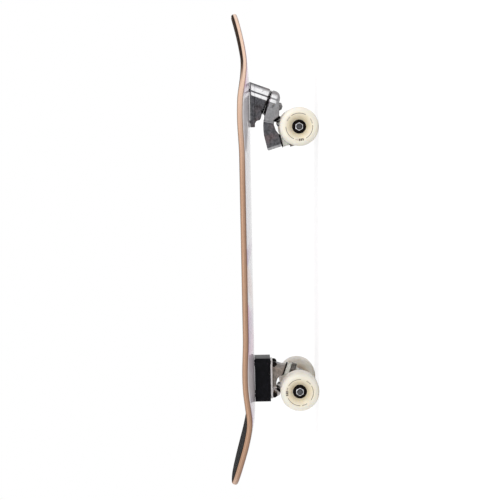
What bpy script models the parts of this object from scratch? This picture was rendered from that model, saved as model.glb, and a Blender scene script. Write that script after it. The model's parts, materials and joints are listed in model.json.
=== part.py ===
"""Surfskate: a 32 inch carving board with a sprung, swinging front truck.

Units are metres, +Z is up and +X points to the nose. The board stands on its wheels at z = 0.
"""
import math

import bmesh
import bpy
from mathutils import Matrix, Vector

# Running gap between pieces that touch
CLEAR = 0.0003

# Edge break on castings, and a reach that carries a cutter clear of any piece it cuts
CAST_EDGE = 0.0013
BEYOND = 0.1

# Deck
DECK_LENGTH = 0.813
DECK_THICKNESS = 0.010
DECK_HALF_WIDTH = 0.125
DECK_TAPER = 0.015
DECK_TAPER_LENGTH = 0.350
DECK_WIDEST_AT = 0.060
EDGE_CHAMFER = 0.002
NOSE_KICK_LENGTH = 0.131
NOSE_KICK_RADIUS = 0.445
NOSE_KICK_ANGLE = math.radians(16.5)
TAIL_KICK_LENGTH = 0.1362
TAIL_KICK_RADIUS = 0.1145
TAIL_KICK_ANGLE = math.radians(16.2)
NOSE_ROUND = 0.150
NOSE_ROUND_POWER = 2.8
TAIL_ROUND = 0.120
TAIL_ROUND_POWER = 3.0
CONCAVE_DEPTH = 0.0088
FLARE_DEPTH = 0.0026
FLARE_REACH = 0.068
FLAT_HALF_WIDTH = 0.031
CONCAVE_POWER = 1.7
NOSE_CONCAVE_FADE = (0.2575, 0.332)
TAIL_CONCAVE_FADE = (0.2275, 0.337)
DECK_STATIONS = 60
DECK_COLUMNS = (-1.0, -0.86, -0.70, -0.50, -0.30, 0.30, 0.50, 0.70, 0.86, 1.0)
TRUCK_FLARE_SHIFT = 0.018

# Grip tape
GRIP_THICKNESS = 0.001
GRIP_INSET = 0.0026

# Mounting bolts, on the common 54 x 41.3 mm pattern
BOLT_SPACING_LONG = 0.0540
BOLT_SPACING_WIDE = 0.0413
BOLT_RADIUS = 0.0024
BOLT_HEAD_RADIUS = 0.0048
BOLT_HEAD_DEPTH = 0.0026
BOLT_NUT_FLATS = 0.0095
BOLT_NUT_HEIGHT = 0.0055
BOLT_THREAD_IN_HOUSING = 0.0065
BOLT_TIP = 0.0015

# Wheels, bearings and axles
WHEEL_RADIUS = 0.0325
WHEEL_WIDTH = 0.051
WHEEL_LIP_RADIUS = 0.0085
WHEEL_FACE_RECESS = 0.0125
WHEEL_HUB_RADIUS = 0.0135
WHEEL_SIDES = 26
BEARING_RADIUS = 0.011
BEARING_WIDTH = 0.007
BEARING_SHOULDER = 0.0018
SPACER_LENGTH = 0.010
SPACER_RADIUS = 0.0055
AXLE_RADIUS = 0.004
AXLE_STUB = 0.002
AXLE_NUT_FLATS = 0.012
AXLE_NUT_HEIGHT = 0.0065

# Hanger, in its own frame: axle centre at the origin, +X towards the pivot, +Z towards the deck
HANGER_HALF_WIDTH = 0.075
HANGER_END_RADIUS = 0.007
HANGER_MIDDLE_RADIUS = 0.011
HANGER_WEB_HALF_WIDTH = 0.009
RING_CENTRE = Vector((-0.0207, 0.0, 0.0105))
PIVOT_POINT = Vector((0.0128, 0.0, 0.0382))
KINGPIN_TILT = math.radians(19.5)
RING_RADIUS = 0.0145
RING_HOLE_RADIUS = 0.0080
RING_THICKNESS = 0.0082
NOSE_LENGTH = 0.011
NOSE_ROOT_RADIUS = 0.0065
NOSE_TIP_RADIUS = 0.0042
WEB_BEHIND_ROOT = 0.006
WEB_INTO_NOSE = 0.002
STACK_ROOM_STRETCH = 1.35

# Kingpin stack
KINGPIN_RADIUS = 0.00475
KINGPIN_HEAD_RADIUS = 0.0075
KINGPIN_HEAD_HEIGHT = 0.006
KINGPIN_NUT_FLATS = 0.014
KINGPIN_NUT_HEIGHT = 0.0065
KINGPIN_TIP = 0.0015
BOARD_WASHER_RADIUS = 0.0122
ROAD_WASHER_RADIUS = 0.009
WASHER_THICKNESS = 0.0018
BOARD_BUSHING_RADIUS = 0.0115
ROAD_BUSHING_RADIUS = 0.0098
ROAD_BUSHING_HEIGHT = 0.0055
FRONT_BUSHING_HEIGHT = 0.0112
REAR_BUSHING_HEIGHT = 0.0075

# Pivot cup
CUP_WALL = 0.0018
CUP_FLOOR = 0.0012
CUP_PROUD = 0.0060
CUP_MOUTH = 0.0015

# Rear truck, measured down from the underside of the deck
REAR_MOUNT_X = -0.2238
RISER_LENGTH = 0.0752
RISER_WIDTH = 0.056
RISER_HEIGHT = 0.027
RISER_CORNER = 0.004
REAR_AXLE_DROP = 0.0479
REAR_AXLE_OFFSET = 0.0092
PLATE_LENGTH = 0.0660
PLATE_WIDTH = 0.054
PLATE_THICKNESS = 0.0035
PLATE_CORNER = 0.006
SEAT_HALF_WIDTH = 0.0125
REAR_SEAT_NOSE_EDGE = 0.0085
SOCKET_HOUSING_DEPTH = 0.004
BRACKET_HALF_WIDTH = 0.0097
BRACKET_RECESS = 0.0018
SOCKET_WALL = 0.0024
KINGPIN_GRIP = 0.011

# Front truck, measured from the middle of its base
FRONT_MOUNT_X = 0.2484
BASE_LENGTH = 0.073
BASE_WIDTH = 0.051
BASE_THICKNESS = 0.0086
BASE_CORNER = 0.006
SWING_TILT = math.radians(20.5)
SWING_POINT = Vector((-0.0055, 0.0, -0.0302))
BARREL_RADIUS = 0.0236
BARREL_WALL = 0.0080
BARREL_CHAMFER = 0.0022
BORE_DEPTH = 0.0195
JOINT_GAP = 0.0016
SEAL_WIDTH = 0.0026
ARM_DEPTH = 0.0195
ARM_ROUND_START = 0.0085
ARM_FLAT_RADIUS = 0.0090
ARM_ROOT_HALF_WIDTH = 0.0222
GUSSET_HALF_WIDTH = 0.0192
ARM_TAIL_HALF_WIDTH = 0.0205
ARM_SEAT_EDGE = 0.0095
PIVOT_BOLT_RADIUS = 0.006
PIVOT_THREAD_RADIUS = 0.004
PIVOT_BOLT_IN_HOUSING = 0.007
PIVOT_NUT_FLATS = 0.013
PIVOT_NUT_HEIGHT = 0.006
PIVOT_NUT_POCKET = 0.0086
SLEEVE_WALL = 0.0018
SLEEVE_FLOOR = 0.003
THRUST_OVERLAP = 0.003
THRUST_THICKNESS = 0.0028
SPRING_WIRE_RADIUS = 0.0017
SPRING_RADIUS = 0.0115
SPRING_TURNS = 3.0
SPRING_STEPS_PER_TURN = 12
FRONT_AXLE_DROP = 0.0816
FRONT_AXLE_OFFSET = 0.0366
FRONT_HANGER_TURN = math.radians(5.5)
FRONT_KINGPIN_GRIP = 0.012

FRAMES = {}

# Side outlines, as (down, back) from the middle of each truck's base
HOUSING_GUSSET = ((0.002, -0.010), (0.016, -0.004), (0.0205, 0.0135), (0.0193, 0.0200), (0.0172, 0.0242),
                  (0.0115, 0.0256), (0.0090, 0.0290), (0.002, 0.0290))
ARM_ROOT_BOARD_SIDE = ((0.0330, -0.0045), (0.0252, 0.0170), (0.0240, 0.0255), (0.0405, 0.0290))
ARM_ROOT_ROAD_SIDE = ((0.0505, 0.0120), (0.0505, -0.0080))
ARM_TAIL_BOARD_SIDE = ((0.0300, 0.0140), (0.0236, 0.0242), (0.0228, 0.0330), (0.0230, 0.0423),
                       (0.0238, 0.0509), (0.0257, 0.0595), (0.0300, 0.0770))
ARM_TAIL_ROAD_SIDE = ((0.0440, 0.0423), (0.0406, 0.0319), (0.0425, 0.0200))
BOSS_NOSE_SIDE = ((0.0010, -0.0280), (0.0085, -0.0270))
BOSS_TAIL_SIDE = ((0.0155, -0.0047), (0.0115, 0.0003), (0.0090, 0.0085), (0.0010, 0.0110))
BRACKET_SIDE = ((0.0010, 0.0140), (0.0045, 0.0150), (0.0150, 0.0235), (0.0166, 0.0258), (0.0150, 0.0292),
                (0.0105, 0.0318), (0.0010, 0.0322))
BRACKET_HOLLOW = ((0.0050, 0.0292), (0.0095, 0.0285), (0.0132, 0.0262), (0.0122, 0.0243), (0.0052, 0.0185))


# Materials

def material(name, colour, roughness, metallic):
    """Return a Principled material with one colour."""
    made = bpy.data.materials.new(name)
    made.use_nodes = True
    shader = made.node_tree.nodes["Principled BSDF"]
    shader.inputs["Base Color"].default_value = (*colour, 1.0)
    shader.inputs["Roughness"].default_value = roughness
    shader.inputs["Metallic"].default_value = metallic
    return made


def make_materials():
    """Return every material by its plain name."""
    return {
        "maple": material("maple", (0.62, 0.38, 0.20), 0.45, 0.0),
        "grip": material("grip", (0.02, 0.02, 0.02), 0.95, 0.0),
        "cast_grey": material("cast_grey", (0.30, 0.30, 0.32), 0.38, 1.0),
        "polished": material("polished", (0.75, 0.75, 0.76), 0.20, 1.0),
        "steel": material("steel", (0.55, 0.55, 0.56), 0.30, 1.0),
        "black_steel": material("black_steel", (0.03, 0.03, 0.03), 0.40, 0.8),
        "bronze": material("bronze", (0.55, 0.36, 0.16), 0.35, 1.0),
        "black_plastic": material("black_plastic", (0.012, 0.012, 0.014), 0.55, 0.0),
        "urethane": material("urethane", (0.83, 0.78, 0.62), 0.35, 0.0),
        "bushing": material("bushing", (0.72, 0.78, 0.68), 0.40, 0.0),
    }


# Mesh helpers

def mesh_from(bm):
    """Turn a bmesh into a mesh with its faces pointing out."""
    bmesh.ops.recalc_face_normals(bm, faces=bm.faces)
    mesh = bpy.data.meshes.new("shape")
    bm.to_mesh(mesh)
    bm.free()
    return mesh


def turned(profile, segments, phase=0.0):
    """Turn a (radius, z) profile about Z.

    A profile that starts and ends on the axis makes a solid; any other is closed into a ring.
    """
    bm = bmesh.new()
    rings = []
    for radius, height in profile:
        if radius < 1e-7:
            rings.append([bm.verts.new((0.0, 0.0, height))])
            continue
        turns = [phase + 2.0 * math.pi * step / segments for step in range(segments)]
        rings.append([bm.verts.new((radius * math.cos(a), radius * math.sin(a), height)) for a in turns])
    on_axis = len(rings[0]) == 1 and len(rings[-1]) == 1
    pairs = list(zip(rings, rings[1:]))
    if not on_axis:
        pairs.append((rings[-1], rings[0]))
    for lower, upper in pairs:
        for step in range(segments):
            after = (step + 1) % segments
            if len(lower) == 1:
                bm.faces.new((lower[0], upper[step], upper[after]))
            elif len(upper) == 1:
                bm.faces.new((lower[step], lower[after], upper[0]))
            else:
                bm.faces.new((lower[step], lower[after], upper[after], upper[step]))
    return mesh_from(bm)


def rod(radius, low, high, segments=20):
    """Return a plain cylinder about Z."""
    return turned([(0.0, low), (radius, low), (radius, high), (0.0, high)], segments)


def tube(inner, outer, low, high, segments=20):
    """Return a plain ring about Z."""
    return turned([(inner, low), (outer, low), (outer, high), (inner, high)], segments)


def slab(outline, low, high, bevel=0.0):
    """Return a flat (x, y) outline given thickness along Z."""
    bm = bmesh.new()
    face = bm.faces.new([bm.verts.new((x, y, low)) for x, y in outline])
    lifted = bmesh.ops.extrude_face_region(bm, geom=[face])
    raised = [item for item in lifted["geom"] if isinstance(item, bmesh.types.BMVert)]
    bmesh.ops.translate(bm, verts=raised, vec=(0.0, 0.0, high - low))
    if bevel > 0.0:
        rims = [e for e in bm.edges if abs(e.verts[0].co.z - e.verts[1].co.z) < 1e-6]
        bmesh.ops.bevel(bm, geom=rims, offset=bevel, segments=1, affect="EDGES")
    return mesh_from(bm)


def side_points(places):
    """Return (down, back) places as the (x, z) points of a side outline."""
    return [(back, -down) for down, back in places]


def side_slab(outline, half_width, bevel=0.0):
    """Return a side (x, z) outline given a width across Y."""
    mesh = slab(outline, -half_width, half_width, bevel)
    mesh.transform(Matrix.Rotation(math.pi / 2.0, 4, "X"))
    return mesh


def rounded_rectangle(length, width, radius, steps=4):
    """Return the outline of a rectangle with round corners."""
    points = []
    for quarter, (side_x, side_y) in enumerate(((1, 1), (-1, 1), (-1, -1), (1, -1))):
        centre_x = side_x * (length / 2.0 - radius)
        centre_y = side_y * (width / 2.0 - radius)
        for step in range(steps + 1):
            angle = math.pi / 2.0 * (quarter + step / steps)
            points.append((centre_x + radius * math.cos(angle), centre_y + radius * math.sin(angle)))
    return points


def hex_nut(flats, bore, height):
    """Return a hexagonal nut with a round bore, from z = 0 up."""
    sides = 12
    angles = [2.0 * math.pi * step / sides for step in range(sides)]
    corner = flats / math.sqrt(3.0)
    hexagon = [corner if step % 2 == 0 else flats / 2.0 for step in range(sides)]
    circle = [bore] * sides
    bm = bmesh.new()
    loops = []
    for radii, level in ((hexagon, 0.0), (hexagon, height), (circle, height), (circle, 0.0)):
        loops.append([bm.verts.new((r * math.cos(a), r * math.sin(a), level)) for r, a in zip(radii, angles)])
    for first, second in zip(loops, loops[1:] + loops[:1]):
        for step in range(sides):
            after = (step + 1) % sides
            bm.faces.new((first[step], first[after], second[after], second[step]))
    return mesh_from(bm)


def moved(mesh, matrix):
    """Return the mesh after moving its points by a matrix."""
    mesh.transform(matrix)
    return mesh


def combined(base, steps):
    """Return base after a list of ("UNION" or "DIFFERENCE", mesh) steps, in order."""
    body = bpy.data.objects.new("body", base)
    bpy.context.scene.collection.objects.link(body)
    helpers = [body]
    for index, (operation, mesh) in enumerate(steps):
        helper = bpy.data.objects.new(f"helper_{index}", mesh)
        bpy.context.scene.collection.objects.link(helper)
        helpers.append(helper)
        cut = body.modifiers.new(f"step_{index}", "BOOLEAN")
        cut.operation = operation
        cut.solver = "EXACT"
        cut.object = helper
    bpy.context.view_layer.update()
    seen = body.evaluated_get(bpy.context.evaluated_depsgraph_get())
    result = bpy.data.meshes.new_from_object(seen)
    for helper in helpers:
        bpy.data.objects.remove(helper)
    bm = bmesh.new()
    bm.from_mesh(result)
    bmesh.ops.remove_doubles(bm, verts=bm.verts, dist=2e-6)
    bmesh.ops.dissolve_limit(bm, angle_limit=math.radians(0.3), verts=bm.verts, edges=bm.edges)
    bm.to_mesh(result)
    bm.free()
    return result


# Placing

def frame(name, parent, world):
    """Add an empty that carries other pieces, and keep its place in the world."""
    empty = bpy.data.objects.new(name, None)
    empty.empty_display_size = 0.02
    bpy.context.scene.collection.objects.link(empty)
    if parent:
        empty.parent = bpy.data.objects[parent]
        empty.matrix_basis = FRAMES[parent].inverted() @ world
    else:
        empty.matrix_basis = world
    FRAMES[name] = world
    return empty


def place(name, mesh, surface, parent, world):
    """Add one named piece, carried by a frame, at its place in the world."""
    piece = bpy.data.objects.new(name, mesh)
    bpy.context.scene.collection.objects.link(piece)
    piece.parent = bpy.data.objects[parent]
    piece.matrix_basis = FRAMES[parent].inverted() @ world
    mesh.name = name
    mesh.materials.clear()
    mesh.materials.append(surface)
    mesh.shade_smooth()
    mesh.set_sharp_from_angle(angle=math.radians(35.0))
    return piece


def along(direction):
    """Return the turn that takes +Z to a direction in the XZ plane, leaving Y in that plane's normal."""
    return Matrix.Rotation(math.atan2(direction.x, direction.z), 4, "Y")


# Deck

def smooth_fade(value, start, end):
    """Return 1 before start, 0 after end, and a smooth step between."""
    share = min(max((value - start) / (end - start), 0.0), 1.0)
    return 1.0 - share * share * (3.0 - 2.0 * share)


def flare(x, centre):
    """Return the share of a rail flare beside one truck."""
    share = min(abs(x - centre) / FLARE_REACH, 1.0)
    return 0.5 + 0.5 * math.cos(math.pi * share)


def concave_depth(x):
    """Return how far the rails stand above the middle at x."""
    flares = flare(x, FRONT_MOUNT_X - TRUCK_FLARE_SHIFT) + flare(x, REAR_MOUNT_X + TRUCK_FLARE_SHIFT)
    fade = smooth_fade(x, *NOSE_CONCAVE_FADE) * smooth_fade(-x, *TAIL_CONCAVE_FADE)
    return (CONCAVE_DEPTH + FLARE_DEPTH * flares) * fade


def half_width(x):
    """Return half the deck's width at x."""
    width = DECK_HALF_WIDTH - DECK_TAPER * ((x - DECK_WIDEST_AT) / DECK_TAPER_LENGTH) ** 2
    half = DECK_LENGTH / 2.0
    nose = max(x - (half - NOSE_ROUND), 0.0) / NOSE_ROUND
    tail = max(-x - (half - TAIL_ROUND), 0.0) / TAIL_ROUND
    width *= max(1.0 - nose ** NOSE_ROUND_POWER, 0.0) ** (1.0 / NOSE_ROUND_POWER)
    width *= max(1.0 - tail ** TAIL_ROUND_POWER, 0.0) ** (1.0 / TAIL_ROUND_POWER)
    return width


def bent_up(run, radius, steepest):
    """Return the rise and the slope of a kick that bends on an arc and then runs straight."""
    bend = min(run, radius * math.sin(steepest))
    angle = math.asin(bend / radius)
    return radius * (1.0 - math.cos(angle)) + (run - bend) * math.tan(angle), angle


def kick(x):
    """Return the rise and the slope angle of the deck's middle line at x."""
    half = DECK_LENGTH / 2.0
    if x > half - NOSE_KICK_LENGTH:
        return bent_up(x - (half - NOSE_KICK_LENGTH), NOSE_KICK_RADIUS, NOSE_KICK_ANGLE)
    if -x > half - TAIL_KICK_LENGTH:
        rise, slope = bent_up(-x - (half - TAIL_KICK_LENGTH), TAIL_KICK_RADIUS, TAIL_KICK_ANGLE)
        return rise, -slope
    return 0.0, 0.0


def deck_point(x, y, height):
    """Return a point above the deck's underside, measured square to its middle line."""
    rise, slope = kick(x)
    span = max(half_width(x) - FLAT_HALF_WIDTH, 0.01)
    share = max(abs(y) - FLAT_HALF_WIDTH, 0.0) / span
    level = rise + concave_depth(x) * share ** CONCAVE_POWER
    return Vector((x - height * math.sin(slope), y, level + height * math.cos(slope)))


def deck_outline(inset):
    """Return (x, half width) stations from nose to tail, drawn in by inset."""
    half = DECK_LENGTH / 2.0
    stations = []
    for step in range(DECK_STATIONS + 1):
        angle = math.pi * step / DECK_STATIONS
        x = half * math.cos(angle)
        stations.append(Vector((x, half_width(x))))
    drawn = [Vector((half - inset, 0.0))]
    for before, here, after in zip(stations, stations[1:], stations[2:]):
        run = after - before
        normal = Vector((-run.y, run.x)).normalized()
        drawn.append(here + normal * inset)
    drawn.append(Vector((-half + inset, 0.0)))
    return drawn


def skin(bm, outline, height):
    """Add the points of one deck surface and return them station by station."""
    rows = []
    for x, width in outline:
        if width < 1e-6:
            rows.append([bm.verts.new(deck_point(x, 0.0, height))])
        else:
            rows.append([bm.verts.new(deck_point(x, width * share, height)) for share in DECK_COLUMNS])
    return rows


def fill_rows(bm, rows):
    """Join a surface's points into faces, with a fan at each tip."""
    for near, far in zip(rows, rows[1:]):
        for column in range(len(DECK_COLUMNS) - 1):
            corners = []
            for row, order in ((near, (column, column + 1)), (far, (column + 1, column))):
                picked = [row[min(index, len(row) - 1)] for index in order]
                corners += picked if picked[0] is not picked[1] else picked[:1]
            bm.faces.new(corners)


def rim_loop(rows):
    """Return a surface's edge points once round the board."""
    left = [row[-1] for row in rows]
    right = [row[0] for row in rows[1:-1]]
    return left + right[::-1]


def board_shell(bottom, top, inset, chamfer):
    """Return a sheet that follows the deck between two heights, with a chamfered edge."""
    bm = bmesh.new()
    inner = deck_outline(inset + chamfer)
    low_rows = skin(bm, inner, bottom)
    high_rows = skin(bm, inner, top)
    fill_rows(bm, low_rows)
    fill_rows(bm, high_rows)
    loops = [rim_loop(low_rows), rim_loop(high_rows)]
    if chamfer > 0.0:
        outer = deck_outline(inset)
        edges = []
        for height in (bottom + chamfer, top - chamfer):
            left = [bm.verts.new(deck_point(x, width, height)) for x, width in outer]
            right = [bm.verts.new(deck_point(x, -width, height)) for x, width in outer[1:-1]]
            edges.append(left + right[::-1])
        loops = [loops[0], *edges, loops[1]]
    count = len(loops[0])
    for lower, upper in zip(loops, loops[1:]):
        for step in range(count):
            after = (step + 1) % count
            bm.faces.new((lower[step], lower[after], upper[after], upper[step]))
    return mesh_from(bm)


def bolt_places(mount_x):
    """Return the four bolt centres of one truck, nose side first."""
    half_long = BOLT_SPACING_LONG / 2.0
    half_wide = BOLT_SPACING_WIDE / 2.0
    return [(mount_x + end * half_long, side * half_wide) for end in (1, -1) for side in (-1, 1)]


def many(mesh_list):
    """Return one mesh holding several shapes that don't touch."""
    bm = bmesh.new()
    for mesh in mesh_list:
        bm.from_mesh(mesh)
    return mesh_from(bm)


def add_deck(paint, shell):
    """Add the deck and its grip tape, drilled and countersunk for the eight bolts."""
    places = bolt_places(FRONT_MOUNT_X) + bolt_places(REAR_MOUNT_X)
    hole = BOLT_RADIUS + CLEAR
    sink = BOLT_HEAD_RADIUS + CLEAR
    top = DECK_THICKNESS
    profile = [(0.0, -BEYOND), (hole, -BEYOND), (hole, top - BOLT_HEAD_DEPTH), (sink, top), (sink, BEYOND),
               (0.0, BEYOND)]
    drills = [moved(turned(profile, 12), Matrix.Translation((x, y, 0.0))) for x, y in places]
    board = combined(shell, [("DIFFERENCE", many(drills))])
    place("deck", board, paint["maple"], "board", FRAMES["board"])

    under = top + CLEAR
    punches = [moved(rod(sink + CLEAR, 0.0, BEYOND, 12), Matrix.Translation((x, y, 0.0)))
               for x, y in places]
    sheet = combined(board_shell(under, under + GRIP_THICKNESS, GRIP_INSET, 0.0),
                     [("DIFFERENCE", many(punches))])
    place("grip_tape", sheet, paint["grip"], "board", FRAMES["board"])


def add_bolts(paint, truck, mount_x, depth, nut_depth):
    """Add four countersunk bolts that reach depth below the deck, each with its nut if nut_depth is set."""
    head = DECK_THICKNESS + CLEAR
    neck = DECK_THICKNESS - BOLT_HEAD_DEPTH
    profile = [(0.0, -depth), (BOLT_RADIUS, -depth), (BOLT_RADIUS, neck),
               (BOLT_HEAD_RADIUS, DECK_THICKNESS), (BOLT_HEAD_RADIUS, head), (0.0, head)]
    for index, (x, y) in enumerate(bolt_places(mount_x), start=1):
        bolt = turned(profile, 12)
        if nut_depth:
            nut = hex_nut(BOLT_NUT_FLATS, BOLT_RADIUS * 0.7, BOLT_NUT_HEIGHT)
            seat = Matrix.Translation((0.0, 0.0, -nut_depth - BOLT_NUT_HEIGHT))
            bolt = combined(bolt, [("UNION", moved(nut, seat))])
        world = FRAMES["board"] @ Matrix.Translation((x, y, 0.0))
        place(f"{truck}_bolt_{index}", bolt, paint["black_steel"], "board", world)


# Hanger and what it carries

def ring_matrix():
    """Return the hanger-frame place of the ring, its +Z along the kingpin towards the deck."""
    return Matrix.Translation(RING_CENTRE) @ Matrix.Rotation(-KINGPIN_TILT, 4, "Y")


def lean_direction():
    """Return the hanger-frame direction of the lean axis, from the ring to the pivot."""
    return (PIVOT_POINT - RING_CENTRE).normalized()


def seat_distance(bushing_height):
    """Return the distance from the ring's middle to the face that the stack seats on."""
    return RING_THICKNESS / 2.0 + bushing_height + WASHER_THICKNESS + 3.0 * CLEAR


def hanger_mesh():
    """Return the hanger: tapered axle barrel, bushing ring, pivot nose and the web between them."""
    half = HANGER_HALF_WIDTH
    barrel = [(0.0, -half), (HANGER_END_RADIUS, -half), (HANGER_END_RADIUS + 0.0015, -0.55 * half),
              (HANGER_MIDDLE_RADIUS, -0.18 * half)]
    barrel += [(radius, -height) for radius, height in reversed(barrel)]
    body = moved(turned(barrel, 18), Matrix.Rotation(math.pi / 2.0, 4, "X"))

    ring_frame = ring_matrix()
    ring = moved(rod(RING_RADIUS, -RING_THICKNESS / 2.0, RING_THICKNESS / 2.0, 24), ring_frame)
    into_ring = ring_frame.inverted()
    axle = into_ring @ Vector((0.0, 0.0, 0.0))
    lean = (into_ring.to_3x3() @ lean_direction())
    pivot = into_ring @ PIVOT_POINT
    root = pivot - lean * NOSE_LENGTH
    across = Vector((-lean.z, 0.0, lean.x)) * NOSE_ROOT_RADIUS
    face = RING_THICKNESS / 2.0 - 2.0 * CLEAR
    inner = RING_RADIUS - 0.004
    end = root + lean * WEB_INTO_NOSE
    outline = [(inner, face), (RING_RADIUS, face), (RING_RADIUS + 0.004, 0.0),
               tuple((root - lean * WEB_BEHIND_ROOT + across * 0.2).xz), tuple((root + across * 0.95).xz),
               tuple((end + across * 0.9).xz), tuple((end - across * 0.9).xz),
               (axle.x + HANGER_MIDDLE_RADIUS * 0.93, axle.z + 0.003),
               (axle.x, axle.z - 0.004), (inner, axle.z + 0.006), (inner, -face)]
    web = moved(side_slab(outline, HANGER_WEB_HALF_WIDTH, 0.0015), ring_frame)

    tip = NOSE_TIP_RADIUS
    arcs = [math.pi / 2.0 * step / 4 for step in range(1, 5)]
    nose = [(0.0, -0.004), (NOSE_ROOT_RADIUS, -0.004), (NOSE_ROOT_RADIUS, 0.0), (tip, NOSE_LENGTH * 0.35),
            (tip, NOSE_LENGTH)]
    nose += [(tip * math.cos(a), NOSE_LENGTH + tip * math.sin(a)) for a in arcs[:-1]]
    nose.append((0.0, NOSE_LENGTH + tip))
    nose_place = Matrix.Translation(ring_frame @ root) @ along(lean_direction())
    spike = moved(turned(nose, 20), nose_place)

    bore = moved(rod(AXLE_RADIUS + CLEAR, -BEYOND, BEYOND, 20), Matrix.Rotation(math.pi / 2.0, 4, "X"))
    kingpin_way = moved(rod(RING_HOLE_RADIUS, -RING_THICKNESS, RING_THICKNESS, 20), ring_frame)
    reach = ROAD_BUSHING_RADIUS + 2.0 * CLEAR
    room = moved(rod(reach, -BEYOND, -RING_THICKNESS / 2.0 - CLEAR, 28),
                 Matrix.Scale(STACK_ROOM_STRETCH, 4, (0, 1, 0)))
    return combined(body, [("UNION", ring), ("UNION", web), ("UNION", spike), ("DIFFERENCE", bore),
                           ("DIFFERENCE", kingpin_way), ("DIFFERENCE", moved(room, ring_frame))])


def bushing_mesh(top_radius, bottom_radius, height):
    """Return a urethane bushing about Z, from z = 0 up, with a soft waist and a kingpin hole."""
    hole = KINGPIN_RADIUS + CLEAR
    lip = 0.001
    waist = (top_radius + bottom_radius) / 2.0 - 0.0004
    return turned([(hole, 0.0), (bottom_radius - lip, 0.0), (bottom_radius, lip), (waist, height / 2.0),
                   (top_radius, height - lip), (top_radius - lip, height), (hole, height)], 16)


def washer_mesh(radius):
    """Return a washer with a turned-up rim, from z = 0 up."""
    hole = KINGPIN_RADIUS + CLEAR
    return turned([(hole, 0.0), (radius - 0.0006, 0.0), (radius, 0.0006), (radius, WASHER_THICKNESS),
                   (hole, WASHER_THICKNESS)], 16)


def cup_mesh():
    """Return the pivot cup about Z: its closed end at the top and its mouth below z = 0."""
    inside = NOSE_TIP_RADIUS + CLEAR
    outside = inside + CUP_WALL
    bottom = -CUP_PROUD
    arcs = [math.pi / 2.0 * step / 3 for step in range(3)]
    bowl = [(inside * math.cos(a), inside * math.sin(a)) for a in arcs] + [(0.0, inside)]
    top = inside + CUP_FLOOR
    return turned([(0.0, top), (outside, top), (outside, bottom), (inside, bottom)] + bowl, 20)


def kingpin_mesh(grip, with_head, bushing_height):
    """Return the kingpin in the ring's frame."""
    seat = seat_distance(bushing_height)
    low = road_stack() + KINGPIN_NUT_HEIGHT + CLEAR + KINGPIN_TIP
    top = seat + grip
    profile = [(0.0, -low), (KINGPIN_RADIUS - 0.0008, -low), (KINGPIN_RADIUS, -low + 0.0008)]
    if with_head:
        profile += [(KINGPIN_RADIUS, top), (KINGPIN_HEAD_RADIUS, top),
                    (KINGPIN_HEAD_RADIUS, top + KINGPIN_HEAD_HEIGHT), (0.0, top + KINGPIN_HEAD_HEIGHT)]
    else:
        profile += [(KINGPIN_RADIUS, top), (0.0, top)]
    return turned(profile, 20)


def road_stack():
    """Return the distance from the ring's middle to the kingpin nut's face on the road side."""
    return RING_THICKNESS / 2.0 + ROAD_BUSHING_HEIGHT + WASHER_THICKNESS + 3.0 * CLEAR


def bearing_pack():
    """Return the length of two bearings and the spacer between them."""
    return 2.0 * BEARING_WIDTH + SPACER_LENGTH + 2.0 * CLEAR


def wheel_profile():
    """Return the wheel's turned section, outer side at +Z."""
    swell = 1.0 / math.cos(math.pi / WHEEL_SIDES)
    radius = WHEEL_RADIUS * swell
    half = WHEEL_WIDTH / 2.0
    lip = WHEEL_LIP_RADIUS
    seat = BEARING_RADIUS + CLEAR
    outer_seat = half - WHEEL_FACE_RECESS
    inner_seat = outer_seat - bearing_pack()
    arcs = [math.pi / 2.0 * step / 2 for step in range(3)]
    rim = [(radius - lip + lip * math.cos(a), half - lip + lip * math.sin(a)) for a in arcs]
    face = [(radius - lip - 0.005, half - 0.0015), (WHEEL_HUB_RADIUS + 0.001, outer_seat + 0.003),
            (WHEEL_HUB_RADIUS - 0.001, outer_seat + 0.0006)]
    outer_side = rim + face + [(seat, outer_seat + 0.0006)]
    inner_face = [(radius - lip - 0.005, -half + 0.0015), (WHEEL_HUB_RADIUS + 0.001, inner_seat - 0.003)]
    inner_rim = [(r, -z) for r, z in rim]
    inner_side = inner_rim + inner_face + [(seat, inner_seat - 0.0006)]
    shoulder = BEARING_RADIUS - BEARING_SHOULDER
    step_out = outer_seat - BEARING_WIDTH - CLEAR
    step_in = inner_seat + BEARING_WIDTH + CLEAR
    core = [(seat, step_out), (shoulder, step_out), (shoulder, step_in), (seat, step_in)]
    return outer_side + core + inner_side[::-1]


def bearing_mesh():
    """Return a shielded ball bearing about Z, from z = 0 up."""
    hole = AXLE_RADIUS + CLEAR
    edge = 0.0004
    return turned([(hole, 0.0), (BEARING_RADIUS - edge, 0.0), (BEARING_RADIUS, edge),
                   (BEARING_RADIUS, BEARING_WIDTH - edge), (BEARING_RADIUS - edge, BEARING_WIDTH),
                   (hole, BEARING_WIDTH)], 14)


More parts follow.
